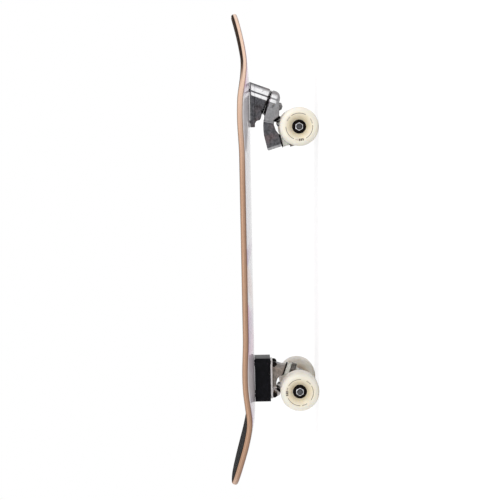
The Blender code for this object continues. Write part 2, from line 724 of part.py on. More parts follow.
def add_wheel(paint, truck, side, hub):
    """Add one wheel with its bearings, spacer and nut; side is +1 for the board's left."""
    label = f"{truck}_{'left' if side > 0 else 'right'}"
    outward = Matrix.Rotation(-side * math.pi / 2.0, 4, "X")
    inner_seat = HANGER_HALF_WIDTH + CLEAR
    outer_seat = inner_seat + bearing_pack()
    middle = outer_seat + WHEEL_FACE_RECESS - WHEEL_WIDTH / 2.0

    def at(distance):
        return Matrix.Translation(hub) @ outward @ Matrix.Translation((0.0, 0.0, distance))

    spin = f"{label}_spin"
    frame(spin, f"{truck}_lean", at(middle))
    facet_down = math.pi / 2.0 + math.pi / WHEEL_SIDES
    wheel = turned(wheel_profile(), WHEEL_SIDES, facet_down)
    place(f"{label}_wheel", wheel, paint["urethane"], spin, at(middle))
    place(f"{label}_inner_bearing", bearing_mesh(), paint["black_steel"], spin, at(inner_seat))
    outer_bearing = outer_seat - BEARING_WIDTH
    place(f"{label}_outer_bearing", bearing_mesh(), paint["black_steel"], spin, at(outer_bearing))
    hole = AXLE_RADIUS + CLEAR
    spacer = tube(hole, SPACER_RADIUS, 0.0, SPACER_LENGTH, 14)
    place(f"{label}_spacer", spacer, paint["steel"], f"{truck}_lean", at(inner_seat + BEARING_WIDTH + CLEAR))
    nut = hex_nut(AXLE_NUT_FLATS, hole, AXLE_NUT_HEIGHT)
    place(f"{label}_axle_nut", nut, paint["polished"], f"{truck}_lean", at(outer_seat + CLEAR))


def add_axle_set(paint, truck, carrier, hanger_world, bushing_height, grip, with_head):
    """Add a hanger with its axle, kingpin stack, pivot cup and two wheels."""
    ring_world = hanger_world @ ring_matrix()
    lean_world = hanger_world @ Matrix.Translation(RING_CENTRE) @ along(lean_direction())
    cup_world = hanger_world @ Matrix.Translation(PIVOT_POINT) @ along(lean_direction())
    frame(f"{truck}_lean", carrier, lean_world)
    place(f"{truck}_hanger", hanger_mesh(), paint["polished"], f"{truck}_lean", hanger_world)

    reach = HANGER_HALF_WIDTH + bearing_pack() + 2.0 * CLEAR + AXLE_NUT_HEIGHT + AXLE_STUB
    axle = turned([(0.0, -reach), (AXLE_RADIUS - 0.0006, -reach), (AXLE_RADIUS, -reach + 0.0006),
                   (AXLE_RADIUS, reach - 0.0006), (AXLE_RADIUS - 0.0006, reach), (0.0, reach)], 16)
    crosswise = hanger_world @ Matrix.Rotation(math.pi / 2.0, 4, "X")
    place(f"{truck}_axle", axle, paint["steel"], f"{truck}_lean", crosswise)

    def stack(height):
        return ring_world @ Matrix.Translation((0.0, 0.0, height))

    half_ring = RING_THICKNESS / 2.0
    board_low = half_ring + CLEAR
    place(f"{truck}_board_bushing", bushing_mesh(BOARD_BUSHING_RADIUS, BOARD_BUSHING_RADIUS, bushing_height),
          paint["bushing"], carrier, stack(board_low))
    place(f"{truck}_board_washer", washer_mesh(BOARD_WASHER_RADIUS), paint["black_steel"], carrier,
          stack(board_low + bushing_height + CLEAR))
    road_top = -half_ring - CLEAR
    place(f"{truck}_road_bushing",
          bushing_mesh(ROAD_BUSHING_RADIUS, ROAD_BUSHING_RADIUS - 0.0015, ROAD_BUSHING_HEIGHT),
          paint["bushing"], carrier, stack(road_top - ROAD_BUSHING_HEIGHT))
    place(f"{truck}_road_washer", washer_mesh(ROAD_WASHER_RADIUS), paint["steel"], carrier,
          stack(-road_stack() + CLEAR))
    kingpin = kingpin_mesh(grip, with_head, bushing_height)
    place(f"{truck}_kingpin", kingpin, paint["steel"], carrier, ring_world)
    nut = hex_nut(KINGPIN_NUT_FLATS, KINGPIN_RADIUS + CLEAR, KINGPIN_NUT_HEIGHT)
    place(f"{truck}_kingpin_nut", nut, paint["steel"], carrier, stack(-road_stack() - KINGPIN_NUT_HEIGHT))
    place(f"{truck}_pivot_cup", cup_mesh(), paint["black_plastic"], carrier, cup_world)

    for side in (-1, 1):
        add_wheel(paint, truck, side, hanger_world.translation)


def mount_place(mount_x):
    """Return the place of a truck's base under the deck, its +X towards the tail."""
    turn = Matrix.Rotation(math.pi, 4, "Z")
    return FRAMES["board"] @ Matrix.Translation((mount_x, 0.0, -CLEAR)) @ turn


# Rear truck

def socket_cutter():
    """Return the pivot cup's socket about Z, from its mouth at z = 0 up."""
    radius = NOSE_TIP_RADIUS + CUP_WALL + 2.0 * CLEAR
    return rod(radius, -BEYOND / 3.0, NOSE_TIP_RADIUS + CUP_FLOOR + 2.0 * CLEAR, 20)


def rear_plate_mesh(to_local):
    """Return the rear base plate: flange, kingpin boss, rib and pivot socket, top face at z = 0."""
    flange = slab(rounded_rectangle(PLATE_LENGTH, PLATE_WIDTH, PLATE_CORNER), -PLATE_THICKNESS, 0.0)
    ring_local = to_local @ ring_matrix()
    seat_world = ring_local @ Vector((0.0, 0.0, seat_distance(REAR_BUSHING_HEIGHT)))
    seat_run = ring_local.to_3x3() @ Vector((1.0, 0.0, 0.0))
    near = seat_world - seat_run * REAR_SEAT_NOSE_EDGE
    far = seat_world + seat_run * SEAT_HALF_WIDTH
    boss = side_slab(side_points(BOSS_NOSE_SIDE) + [tuple(near.xz), tuple(far.xz)]
                     + side_points(BOSS_TAIL_SIDE), SEAT_HALF_WIDTH, CAST_EDGE)
    cup = to_local @ Matrix.Translation(PIVOT_POINT) @ along(lean_direction())
    outer = NOSE_TIP_RADIUS + CUP_WALL + SOCKET_WALL
    housing = moved(rod(outer, -CUP_MOUTH, SOCKET_HOUSING_DEPTH, 24), cup)
    bracket = side_slab(side_points(BRACKET_SIDE), BRACKET_HALF_WIDTH, CAST_EDGE)
    hollow = side_slab(side_points(BRACKET_HOLLOW), BRACKET_RECESS)
    hollows = [moved(hollow.copy(), Matrix.Translation((0.0, side * BRACKET_HALF_WIDTH, 0.0)))
               for side in (-1, 1)]
    above = slab(rounded_rectangle(BEYOND, BEYOND, CAST_EDGE, 1), 0.0, BEYOND)
    hole = KINGPIN_RADIUS + CLEAR
    shaft = moved(rod(hole, 0.0, BEYOND, 20), ring_local)
    head_start = seat_distance(REAR_BUSHING_HEIGHT) + KINGPIN_GRIP - CLEAR
    pocket = moved(rod(KINGPIN_HEAD_RADIUS + CLEAR, head_start, BEYOND, 20), ring_local)
    drills = [moved(rod(BOLT_RADIUS + CLEAR, -BEYOND, BEYOND, 12), Matrix.Translation((x, y, 0.0)))
              for x, y in bolt_places(0.0)]
    return combined(flange, [("UNION", boss), ("UNION", bracket), ("UNION", housing), ("DIFFERENCE", above),
                             ("DIFFERENCE", many(hollows)), ("DIFFERENCE", moved(socket_cutter(), cup)),
                             ("DIFFERENCE", shaft), ("DIFFERENCE", pocket), ("DIFFERENCE", many(drills))])


def add_rear_truck(paint):
    """Add the riser, base plate and axle set under the tail."""
    under = mount_place(REAR_MOUNT_X)
    frame("rear_truck", "board", under)
    riser = slab(rounded_rectangle(RISER_LENGTH, RISER_WIDTH, RISER_CORNER, 3), -RISER_HEIGHT, 0.0)
    drills = [moved(rod(BOLT_RADIUS + CLEAR, -BEYOND, BEYOND, 12), Matrix.Translation((x, y, 0.0)))
              for x, y in bolt_places(0.0)]
    place("rear_riser", combined(riser, [("DIFFERENCE", many(drills))]), paint["black_plastic"],
          "rear_truck", under)
    plate_world = under @ Matrix.Translation((0.0, 0.0, -RISER_HEIGHT - CLEAR))
    hanger_local = Matrix.Translation((REAR_AXLE_OFFSET, 0.0, -REAR_AXLE_DROP))
    place("rear_base_plate", rear_plate_mesh(hanger_local), paint["cast_grey"], "rear_truck", plate_world)
    add_axle_set(paint, "rear", "rear_truck", plate_world @ hanger_local, REAR_BUSHING_HEIGHT,
                 KINGPIN_GRIP, True)
    clamped = RISER_HEIGHT + PLATE_THICKNESS + 3.0 * CLEAR
    add_bolts(paint, "rear", REAR_MOUNT_X, clamped + BOLT_NUT_HEIGHT + BOLT_TIP, clamped)


# Front truck

def bore_radius():
    """Return the radius of the housing's bore, which holds the spring."""
    return BARREL_RADIUS - BARREL_WALL


def thrust_radius():
    """Return the thrust bearing's outer radius: it bears on the rim round the bore."""
    return bore_radius() + THRUST_OVERLAP


def thrust_low():
    """Return the swing-frame height of the thrust bearing's underside."""
    return JOINT_GAP / 2.0 - CLEAR - THRUST_THICKNESS


def housing_mesh(swing_local):
    """Return the base housing: base plate, tilted barrel and the gusset behind it."""
    plate = slab(rounded_rectangle(BASE_LENGTH, BASE_WIDTH, BASE_CORNER), -BASE_THICKNESS, 0.0)
    low = JOINT_GAP / 2.0
    barrel = turned([(0.0, low), (BARREL_RADIUS - BARREL_CHAMFER, low), (BARREL_RADIUS, low + BARREL_CHAMFER),
                     (BARREL_RADIUS, BEYOND), (0.0, BEYOND)], 36)
    gusset = side_slab(side_points(HOUSING_GUSSET), GUSSET_HALF_WIDTH, CAST_EDGE)
    above = slab(rounded_rectangle(2.0 * BEYOND, BEYOND, CAST_EDGE, 1), 0.0, BEYOND)
    bore = rod(bore_radius(), -BEYOND, BORE_DEPTH, 28)
    thread = rod(PIVOT_BOLT_RADIUS + CLEAR, -BEYOND, BORE_DEPTH + PIVOT_BOLT_IN_HOUSING + CLEAR, 20)
    drills = [moved(rod(BOLT_RADIUS + CLEAR, -BOLT_THREAD_IN_HOUSING - CLEAR, BEYOND, 12),
                    Matrix.Translation((x, y, 0.0))) for x, y in bolt_places(0.0)]
    return combined(plate, [("UNION", moved(barrel, swing_local)), ("UNION", gusset), ("DIFFERENCE", above),
                            ("DIFFERENCE", moved(bore, swing_local)),
                            ("DIFFERENCE", moved(thread, swing_local)), ("DIFFERENCE", many(drills))])


def arm_barrel():
    """Return the arm's round head about the swing axis, its lower edge drawn in by a wide curve."""
    top = -JOINT_GAP / 2.0
    arcs = [math.pi / 2.0 * step / 5 for step in range(6)]
    run_in = BARREL_RADIUS - ARM_FLAT_RADIUS
    run_down = ARM_DEPTH - ARM_ROUND_START
    rounded = [(ARM_FLAT_RADIUS + run_in * math.cos(a), -ARM_ROUND_START - run_down * math.sin(a))
               for a in arcs]
    return turned([(0.0, top), (BARREL_RADIUS - BARREL_CHAMFER, top), (BARREL_RADIUS, top - BARREL_CHAMFER)]
                  + rounded + [(0.0, -ARM_DEPTH)], 36)


def arm_mesh(swing_local, hanger_local):
    """Return the swing arm: its round head, its tail with the kingpin seat, and the sockets."""
    ring_local = hanger_local @ ring_matrix()
    seat_height = seat_distance(FRONT_BUSHING_HEIGHT)
    seat = ring_local @ Vector((0.0, 0.0, seat_height))
    run = ring_local.to_3x3() @ Vector((1.0, 0.0, 0.0))
    seat_near = seat + run * SEAT_HALF_WIDTH
    seat_far = seat - run * ARM_SEAT_EDGE
    cup_local = hanger_local @ Matrix.Translation(PIVOT_POINT) @ along(lean_direction())
    mouth = cup_local @ Vector((0.0, 0.0, -CUP_MOUTH))
    mouth_run = (cup_local.to_3x3() @ Vector((1.0, 0.0, 0.0))) * (NOSE_TIP_RADIUS + CUP_WALL) * 0.9
    road_lip, board_lip = mouth + mouth_run, mouth - mouth_run
    root = side_slab(side_points(ARM_ROOT_BOARD_SIDE) + [tuple(board_lip.xz), tuple(road_lip.xz)]
                     + side_points(ARM_ROOT_ROAD_SIDE), ARM_ROOT_HALF_WIDTH, CAST_EDGE)
    tail = side_slab(side_points(ARM_TAIL_BOARD_SIDE) + [tuple(seat_far.xz), tuple(seat_near.xz)]
                     + side_points(ARM_TAIL_ROAD_SIDE), ARM_TAIL_HALF_WIDTH, CAST_EDGE)
    sleeve_way = rod(PIVOT_BOLT_RADIUS + SLEEVE_WALL + 2.0 * CLEAR, SLEEVE_FLOOR - ARM_DEPTH, BEYOND, 20)
    thread_way = rod(PIVOT_THREAD_RADIUS + CLEAR, -BEYOND, 0.0, 16)
    thrust_room = rod(thrust_radius() + CLEAR, thrust_low() - CLEAR, BEYOND, 28)
    nut_room = rod(PIVOT_NUT_POCKET, -BEYOND, -ARM_DEPTH, 20)
    swing_cuts = [("DIFFERENCE", moved(cutter, swing_local))
                  for cutter in (thrust_room, sleeve_way, thread_way, nut_room)]
    kingpin_way = rod(KINGPIN_RADIUS + CLEAR, 0.0, seat_height + FRONT_KINGPIN_GRIP + CLEAR, 20)
    return combined(moved(arm_barrel(), swing_local),
                    [("UNION", root), ("UNION", tail), *swing_cuts,
                     ("DIFFERENCE", moved(socket_cutter(), cup_local)),
                     ("DIFFERENCE", moved(kingpin_way, ring_local))])


def spring_mesh():
    """Return the torsion spring: an unbroken round wire wound about the swing axis."""
    low = JOINT_GAP / 2.0 + SPRING_WIRE_RADIUS
    high = BORE_DEPTH - CLEAR - SPRING_WIRE_RADIUS
    steps = int(SPRING_TURNS * SPRING_STEPS_PER_TURN)
    curve = bpy.data.curves.new("spring_route", "CURVE")
    curve.dimensions = "3D"
    curve.bevel_depth = SPRING_WIRE_RADIUS
    curve.bevel_resolution = 1
    curve.use_fill_caps = True
    route = curve.splines.new("POLY")
    route.points.add(steps)
    for step in range(steps + 1):
        angle = 2.0 * math.pi * step / SPRING_STEPS_PER_TURN
        height = low + (high - low) * step / steps
        x, y = SPRING_RADIUS * math.cos(angle), SPRING_RADIUS * math.sin(angle)
        route.points[step].co = (x, y, height, 1.0)
    holder = bpy.data.objects.new("spring_holder", curve)
    bpy.context.scene.collection.objects.link(holder)
    bpy.context.view_layer.update()
    seen = holder.evaluated_get(bpy.context.evaluated_depsgraph_get())
    wire = bpy.data.meshes.new_from_object(seen)
    bpy.data.objects.remove(holder)
    return wire


def add_swing_core(paint, swing):
    """Add what lies inside the swing joint: bolt, nut, sleeve, spring, thrust bearing and dust seal."""
    shoulder = SLEEVE_FLOOR - ARM_DEPTH + CLEAR
    tip = -(ARM_DEPTH + CLEAR + PIVOT_NUT_HEIGHT + BOLT_TIP)
    end = BORE_DEPTH + PIVOT_BOLT_IN_HOUSING
    bolt = turned([(0.0, tip), (PIVOT_THREAD_RADIUS, tip), (PIVOT_THREAD_RADIUS, shoulder),
                   (PIVOT_BOLT_RADIUS, shoulder), (PIVOT_BOLT_RADIUS, end), (0.0, end)], 20)
    place("pivot_bolt", bolt, paint["steel"], "front_truck", swing)
    nut = hex_nut(PIVOT_NUT_FLATS, PIVOT_THREAD_RADIUS + CLEAR, PIVOT_NUT_HEIGHT)
    nut_place = Matrix.Translation((0.0, 0.0, -ARM_DEPTH - CLEAR - PIVOT_NUT_HEIGHT))
    place("pivot_nut", nut, paint["polished"], "front_truck", swing @ nut_place)

    inside = PIVOT_BOLT_RADIUS + CLEAR
    outside = inside + SLEEVE_WALL
    sleeve_top = thrust_low() - CLEAR
    sleeve = tube(inside, outside, shoulder, sleeve_top)
    place("pivot_sleeve", sleeve, paint["bronze"], "front_swing", swing)
    place("torsion_spring", spring_mesh(), paint["steel"], "front_truck", swing)

    thrust_hole = outside + 2.0 * CLEAR
    thrust_top = thrust_low() + THRUST_THICKNESS
    thrust = tube(thrust_hole, thrust_radius(), thrust_low(), thrust_top, 24)
    place("thrust_bearing", thrust, paint["steel"], "front_swing", swing)
    lip = thrust_radius() + 3.0 * CLEAR
    half = JOINT_GAP / 2.0 - CLEAR
    seal = tube(lip, lip + SEAL_WIDTH, -half, half, 28)
    place("dust_seal", seal, paint["black_plastic"], "front_truck", swing)


def add_front_truck(paint):
    """Add the swinging truck under the nose."""
    under = mount_place(FRONT_MOUNT_X)
    frame("front_truck", "board", under)
    swing_local = Matrix.Translation(SWING_POINT) @ Matrix.Rotation(-SWING_TILT, 4, "Y")
    swing = under @ swing_local
    frame("front_swing", "front_truck", swing)
    turn = Matrix.Rotation(math.pi, 4, "Z") @ Matrix.Rotation(FRONT_HANGER_TURN, 4, "Y")
    hanger_local = Matrix.Translation((FRONT_AXLE_OFFSET, 0.0, -FRONT_AXLE_DROP)) @ turn
    place("front_base_housing", housing_mesh(swing_local), paint["cast_grey"], "front_truck", under)
    place("front_swing_arm", arm_mesh(swing_local, hanger_local), paint["cast_grey"], "front_swing", under)
    add_swing_core(paint, swing)
    add_axle_set(paint, "front", "front_swing", under @ hanger_local, FRONT_BUSHING_HEIGHT,
                 FRONT_KINGPIN_GRIP, False)
    add_bolts(paint, "front", FRONT_MOUNT_X, BOLT_THREAD_IN_HOUSING + CLEAR, 0.0)


# The board's stance

def stance(shell):
    """Return the board's place: both axles at wheel height, the deck's ends level about x = 0."""
    front = Vector((FRONT_MOUNT_X - FRONT_AXLE_OFFSET, 0.0, -CLEAR - FRONT_AXLE_DROP))
    rear = Vector((REAR_MOUNT_X - REAR_AXLE_OFFSET, 0.0, -2.0 * CLEAR - RISER_HEIGHT - REAR_AXLE_DROP))
    pitch = math.atan2(rear.z - front.z, front.x - rear.x)
    turn = Matrix.Rotation(-pitch, 4, "Y")
    height = WHEEL_RADIUS - (turn @ front).z
    ends = [(turn @ corner.co).x for corner in shell.vertices]
    return Matrix.Translation((-(min(ends) + max(ends)) / 2.0, 0.0, height)) @ turn


def main():
    """Build the board."""
    for item in list(bpy.data.objects):
        bpy.data.objects.remove(item)
    paint = make_materials()
    shell = board_shell(0.0, DECK_THICKNESS, 0.0, EDGE_CHAMFER)
    frame("board", None, stance(shell))
    add_deck(paint, shell)
    add_front_truck(paint)
    add_rear_truck(paint)


main()
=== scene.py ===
"""Surfskate dressed for the studio: a short carving board with a swinging front truck.

Units are metres. +X is the nose, +Z is up, and the board stands on its wheels at z = 0.
The camera lies on its side, so the nose points up in the picture.
"""
from __future__ import annotations

import json
import logging
import math
from dataclasses import dataclass
from enum import Enum
from functools import cache
from typing import Callable, Iterable, NamedTuple, Sequence

import bmesh
import bpy
from mathutils import Matrix, Vector

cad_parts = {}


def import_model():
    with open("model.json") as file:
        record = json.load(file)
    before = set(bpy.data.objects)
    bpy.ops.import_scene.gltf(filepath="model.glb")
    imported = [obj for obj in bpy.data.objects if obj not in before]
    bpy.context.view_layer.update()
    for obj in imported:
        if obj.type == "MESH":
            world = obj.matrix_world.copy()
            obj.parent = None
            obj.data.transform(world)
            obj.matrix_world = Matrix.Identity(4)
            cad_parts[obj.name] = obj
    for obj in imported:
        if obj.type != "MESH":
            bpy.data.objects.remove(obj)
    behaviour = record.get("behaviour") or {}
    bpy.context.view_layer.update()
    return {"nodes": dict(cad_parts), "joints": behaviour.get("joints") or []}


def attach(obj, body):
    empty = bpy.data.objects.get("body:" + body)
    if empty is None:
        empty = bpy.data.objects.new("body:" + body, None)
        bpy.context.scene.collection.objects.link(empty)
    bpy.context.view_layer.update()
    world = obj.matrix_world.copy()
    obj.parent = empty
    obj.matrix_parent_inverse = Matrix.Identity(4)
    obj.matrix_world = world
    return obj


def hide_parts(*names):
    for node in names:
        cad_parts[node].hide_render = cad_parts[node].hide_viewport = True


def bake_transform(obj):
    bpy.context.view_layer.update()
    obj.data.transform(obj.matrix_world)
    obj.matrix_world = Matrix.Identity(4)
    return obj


LOG = logging.getLogger("surfskate")

Colour = tuple[float, float, float]
Place = tuple[float, float, float]
Flat = tuple[float, float]
Section = list[Flat]
Outline = tuple[Flat, ...]
Mesh = bpy.types.Mesh
Thing = bpy.types.Object
Material = bpy.types.Material
Socket = bpy.types.NodeSocket

# Running gap between pieces that touch
CLEAR = 0.0003
# A reach that carries a cutter clear of any piece it cuts
BEYOND = 0.1
# Points closer than this are one point
SAME_POINT = 1e-7
WHITE = (1.0, 1.0, 1.0, 1.0)


# Node trees


def arithmetic(operation: str, swapped: bool = False) -> Callable[[Field, Operand], Field]:
    """Return a method for one of Field's operators, swapped where it stands for 1.0 - field."""
    def method(self: Field, other: Operand) -> Field:
        """Return the operator's result."""
        return self.bench.math(operation, *((other, self) if swapped else (self, other)))
    return method


class Field:
    """A value that runs through a node tree and takes ordinary arithmetic."""

    def __init__(self, bench: Bench, socket: Socket) -> None:
        """Hold an output socket and the bench that it stands on."""
        self.bench = bench
        self.socket = socket

    __add__, __radd__ = arithmetic("ADD"), arithmetic("ADD", swapped=True)
    __sub__, __rsub__ = arithmetic("SUBTRACT"), arithmetic("SUBTRACT", swapped=True)
    __mul__, __rmul__ = arithmetic("MULTIPLY"), arithmetic("MULTIPLY", swapped=True)
    __truediv__, __rtruediv__ = arithmetic("DIVIDE"), arithmetic("DIVIDE", swapped=True)
    __pow__ = arithmetic("POWER")


Operand = Field | float
Feeds = dict[int | str, object]


class Bench:
    """Adds nodes to one tree and hands back their outputs."""

    def __init__(self, tree: bpy.types.NodeTree) -> None:
        """Work on the given tree."""
        self.tree = tree

    def node(self, kind: str, feeds: Feeds | None = None, **settings: object) -> bpy.types.Node:
        """Add one node.

        Args:
            kind: the node's type name.
            feeds: input index or name to the value or Field that it takes.
            settings: the node's own properties.

        Returns:
            The new node.
        """
        made = self.tree.nodes.new(kind)
        for name, value in settings.items():
            setattr(made, name, value)
        for key, value in (feeds or {}).items():
            self.feed(made.inputs[key], value)
        return made

    def feed(self, socket: Socket, value: object) -> None:
        """Link a Field or socket to an input, or set the input's own value."""
        if isinstance(value, Field):
            self.tree.links.new(value.socket, socket)
        elif isinstance(value, Socket):
            self.tree.links.new(value, socket)
        else:
            socket.default_value = value

    def take(self, kind: str, feeds: Feeds | None = None, output: int | str = 0,
             **settings: object) -> Field:
        """Add one node and return one of its outputs as a Field."""
        return Field(self, self.node(kind, feeds, **settings).outputs[output])

    def math(self, operation: str, *values: Operand) -> Field:
        """Return a Math node's result for the given values."""
        return self.take("ShaderNodeMath", dict(enumerate(values)), operation=operation)

    def clamp(self, value: Operand, low: Operand = 0.0, high: Operand = 1.0) -> Field:
        """Return the value held between low and high."""
        return self.math("MINIMUM", self.math("MAXIMUM", value, low), high)

    def wave(self, angle: Field) -> Field:
        """Return a sine brought between 0 and 1."""
        return self.math("SINE", angle) * 0.5 + 0.5

    def ease(self, value: Operand, start: Operand, end: Operand) -> Field:
        """Return 0 before start, 1 after end, and a smooth step between."""
        return self.take("ShaderNodeMapRange", {"Value": value, "From Min": start, "From Max": end},
                         "Result", interpolation_type="SMOOTHSTEP")

    def window(self, value: Operand, middle: Operand, half: float, soft: float) -> Field:
        """Return 1 within half of middle, fading to 0 over soft."""
        away = self.math("ABSOLUTE", self.math("SUBTRACT", value, middle))
        return 1.0 - self.ease(away, half - soft, half + soft)

    def vector(self, x: Operand, y: Operand, z: Operand) -> Field:
        """Return a vector made of three values."""
        return self.take("ShaderNodeCombineXYZ", {0: x, 1: y, 2: z})

    def parts(self, vector: Field) -> tuple[Field, Field, Field]:
        """Return a vector's three values."""
        split = self.node("ShaderNodeSeparateXYZ", {0: vector})
        return tuple(Field(self, output) for output in split.outputs)

    def rays(self) -> tuple[Field, Field]:
        """Return where the camera looks straight on, and where a mirror or a glass looks."""
        path = self.node("ShaderNodeLightPath").outputs
        bounced = Field(self, path["Is Glossy Ray"]) + Field(self, path["Is Transmission Ray"])
        return Field(self, path["Is Camera Ray"]), bounced


# Finishes


class Noise(NamedTuple):
    """A noise of so many lumps a metre, and the patches it makes between start and end."""

    scale: float
    detail: float = 3.0
    roughness: float = 0.5
    start: float = 0.0
    end: float = 1.0
    stretch: Place | None = None


class Paint(Bench):
    """A bench for one material, with the texture nodes that the finishes share."""

    def __init__(self, name: str) -> None:
        """Start an empty material of that name with a Principled shader."""
        self.material = bpy.data.materials.new(name)
        self.material.use_nodes = True
        super().__init__(self.material.node_tree)
        self.shader = self.tree.nodes["Principled BSDF"]
        self.place = self.take("ShaderNodeTexCoord", output="Object")

    def kept(self, name: str, output: str = "Fac") -> Field:
        """Return a value that the mesh keeps as a named attribute."""
        return self.take("ShaderNodeAttribute", output=output, attribute_name=name)

    def noise(self, look: Noise) -> Field:
        """Return a noise, its Object coordinates stretched where it says so."""
        vector = self.place
        if look.stretch:
            vector = self.take("ShaderNodeMapping", {"Vector": vector, "Scale": look.stretch})
        return self.take("ShaderNodeTexNoise", {"Vector": vector, "Scale": look.scale,
                                                "Detail": look.detail, "Roughness": look.roughness})

    def patches(self, look: Noise) -> Field:
        """Return a noise's patches: 0 where it lies below start, and 1 above end."""
        return self.ease(self.noise(look), look.start, look.end)

    def ramp(self, value: Operand, stops: Sequence[tuple[float, Colour]]) -> Field:
        """Return a colour picked from stops by a value."""
        made = self.node("ShaderNodeValToRGB", {0: value})
        elements = made.color_ramp.elements
        while len(elements) < len(stops):
            elements.new(0.5)
        for element, (at, colour) in zip(elements, stops):
            element.position = at
            element.color = (*colour, 1.0)
        return Field(self, made.outputs[0])

    def blend(self, share: Operand, first: Colour | Field, second: Colour | Field,
              kind: str = "MIX") -> Field:
        """Return one colour turning to another.

        Args:
            share: how much of the second shows, from 0 to 1.
            first: the colour where share is 0.
            second: the colour, or what the blend's kind makes of it, where share is 1.
            kind: the way of blending.

        Returns:
            The colour.
        """
        made = self.node("ShaderNodeMix", data_type="RGBA", blend_type=kind)
        self.feed(made.inputs[0], share)
        for index, colour in ((6, first), (7, second)):
            self.feed(made.inputs[index], colour if isinstance(colour, Field) else (*colour, 1.0))
        return Field(self, made.outputs[2])

    def shaded(self, colour: Colour | Field, share: Operand, low: float, high: float) -> Field:
        """Return a colour times low where share is 0 and times high where it is 1."""
        shade = self.blend(share, (low, low, low), (high, high, high))
        return self.blend(1.0, colour, shade, "MULTIPLY")

    def bump(self, height: Field, distance: float, strength: float,
             under: Field | None = None) -> Field:
        """Return a bumped normal.

        Args:
            height: the relief, from 0 to 1.
            distance: what a height of 1 is worth, in metres.
            strength: how much of the bump shows.
            under: a normal that is bumped already.

        Returns:
            The normal.
        """
        feeds: Feeds = {"Height": height, "Distance": distance, "Strength": strength}
        if under:
            feeds["Normal"] = under
        return self.take("ShaderNodeBump", feeds)

    def finish(self, **inputs: object) -> Material:
        """Set the shader's inputs by name, with _ for a space, and return the material."""
        for name, value in inputs.items():
            self.feed(self.shader.inputs[name.replace("_", " ")], value)
        return self.material


@dataclass(frozen=True)
class CastMetal:
    """Cast aluminium: a mottled dull skin with fine pits, and a painted highlight colour, also
    smoother, where a kept share says so.
    """

    name: str
    # The first colour is a painted highlight; the skin is the metal's own dull colour.
    bright: Colour
    skin: Colour
    smooth: float
    rough: float
    tint: Colour = (1.0, 1.0, 1.0)
    patch_share: float = 0.0
    cloud: Noise = Noise(95.0, 4.0, 0.6)
    grain: Noise = Noise(900.0, 5.0, 0.65)
    pits: Noise = Noise(2600.0, 2.0, 0.5, 0.35, 0.6)
    patch: Noise = Noise(120.0, 1.0, 0.4, 0.43, 0.63)
    stain: Noise = Noise(42.0, 2.0, 0.5, 0.45, 0.7)
    mottle: Noise = Noise(260.0, 3.0, 0.6, 0.32, 0.68)
    skin_range: Flat = (0.50, 1.45)
    bright_range: Flat = (0.88, 1.05)

    def make(self) -> Material:
        """Return the material."""
        paint = Paint(self.name)
        # The kept share paints the highlight colour over the skin, and also lowers the roughness
        # there.
        polish_and_highlight = paint.kept("polish_and_highlight")
        cloud, grain = paint.noise(self.cloud), paint.noise(self.grain)
        pits = paint.patches(self.pits)
        # Random patches add more of the painted highlight, as much as the patch share allows.
        patch = paint.patches(self.patch) * self.patch_share
        blotch = paint.clamp(0.65 + cloud * 0.45 + grain * 0.25)
        share = paint.clamp((polish_and_highlight + patch) * blotch)
        dull = paint.blend(paint.patches(self.stain), self.skin,
                           paint.blend(1.0, self.skin, self.tint, "MULTIPLY"))
        mottle = paint.patches(self.mottle) * 0.75 + grain * 0.25
        colour = paint.blend(
            share, paint.shaded(dull, mottle, *self.skin_range),
            paint.shaded(self.bright, mottle, *self.bright_range))
        roughness = self.rough + (self.smooth - self.rough) * share + grain * 0.08 - 0.04
        relief = paint.bump(pits, 0.00010, 0.35)
        relief = paint.bump(cloud, 0.0008, 0.25, relief)
        return paint.finish(
            Base_Color=colour, Metallic=1.0, Roughness=paint.clamp(roughness), Normal=relief)


@dataclass(frozen=True)
class Steel:
    """Turned or rolled steel with faint tool marks and a little uneven plating."""

    name: str
    colour: Colour
    shade: Colour
    smooth: float
    rough: float
    metallic: float = 1.0
    specular: float = 0.5
    plating: Noise = Noise(240.0, 3.0, 0.55, 0.35, 0.7)
    marks: Noise = Noise(1500.0, 3.0, 0.6, stretch=(1.0, 0.12, 1.0))

    def make(self) -> Material:
        """Return the material."""
        paint = Paint(self.name)
        marks = paint.noise(self.marks)
        return paint.finish(
            Base_Color=paint.blend(paint.patches(self.plating), self.colour, self.shade),
            Metallic=self.metallic, Specular_IOR_Level=self.specular,
            Roughness=paint.clamp(self.smooth + (self.rough - self.smooth) * marks),
            Normal=paint.bump(marks, 0.00006, 0.3))


@dataclass(frozen=True)
class Moulding:
    """Moulded plastic or rubber with a fine orange peel and dusty high spots."""

    name: str
    colour: Colour
    dust: Colour
    smooth: float
    rough: float
    specular: float
    drag: Noise | None = None
    peel: Noise = Noise(3200.0, 2.0, 0.5)
    dusty: Noise = Noise(130.0, 4.0, 0.6, 0.42, 0.8)

    def make(self) -> Material:
        """Return the material."""
        paint = Paint(self.name)
        dusty = paint.noise(self.dusty)
        dust = paint.ease(dusty, self.dusty.start, self.dusty.end) * 0.6
        relief = paint.bump(paint.noise(self.peel), 0.00005, 0.35)
        if self.drag:
            relief = paint.bump(paint.noise(self.drag), 0.0002, 0.35, relief)
        return paint.finish(
            Base_Color=paint.blend(dust, self.colour, self.dust), Specular_IOR_Level=self.specular,
            Roughness=paint.clamp(self.smooth + (self.rough - self.smooth) * dusty), Normal=relief)


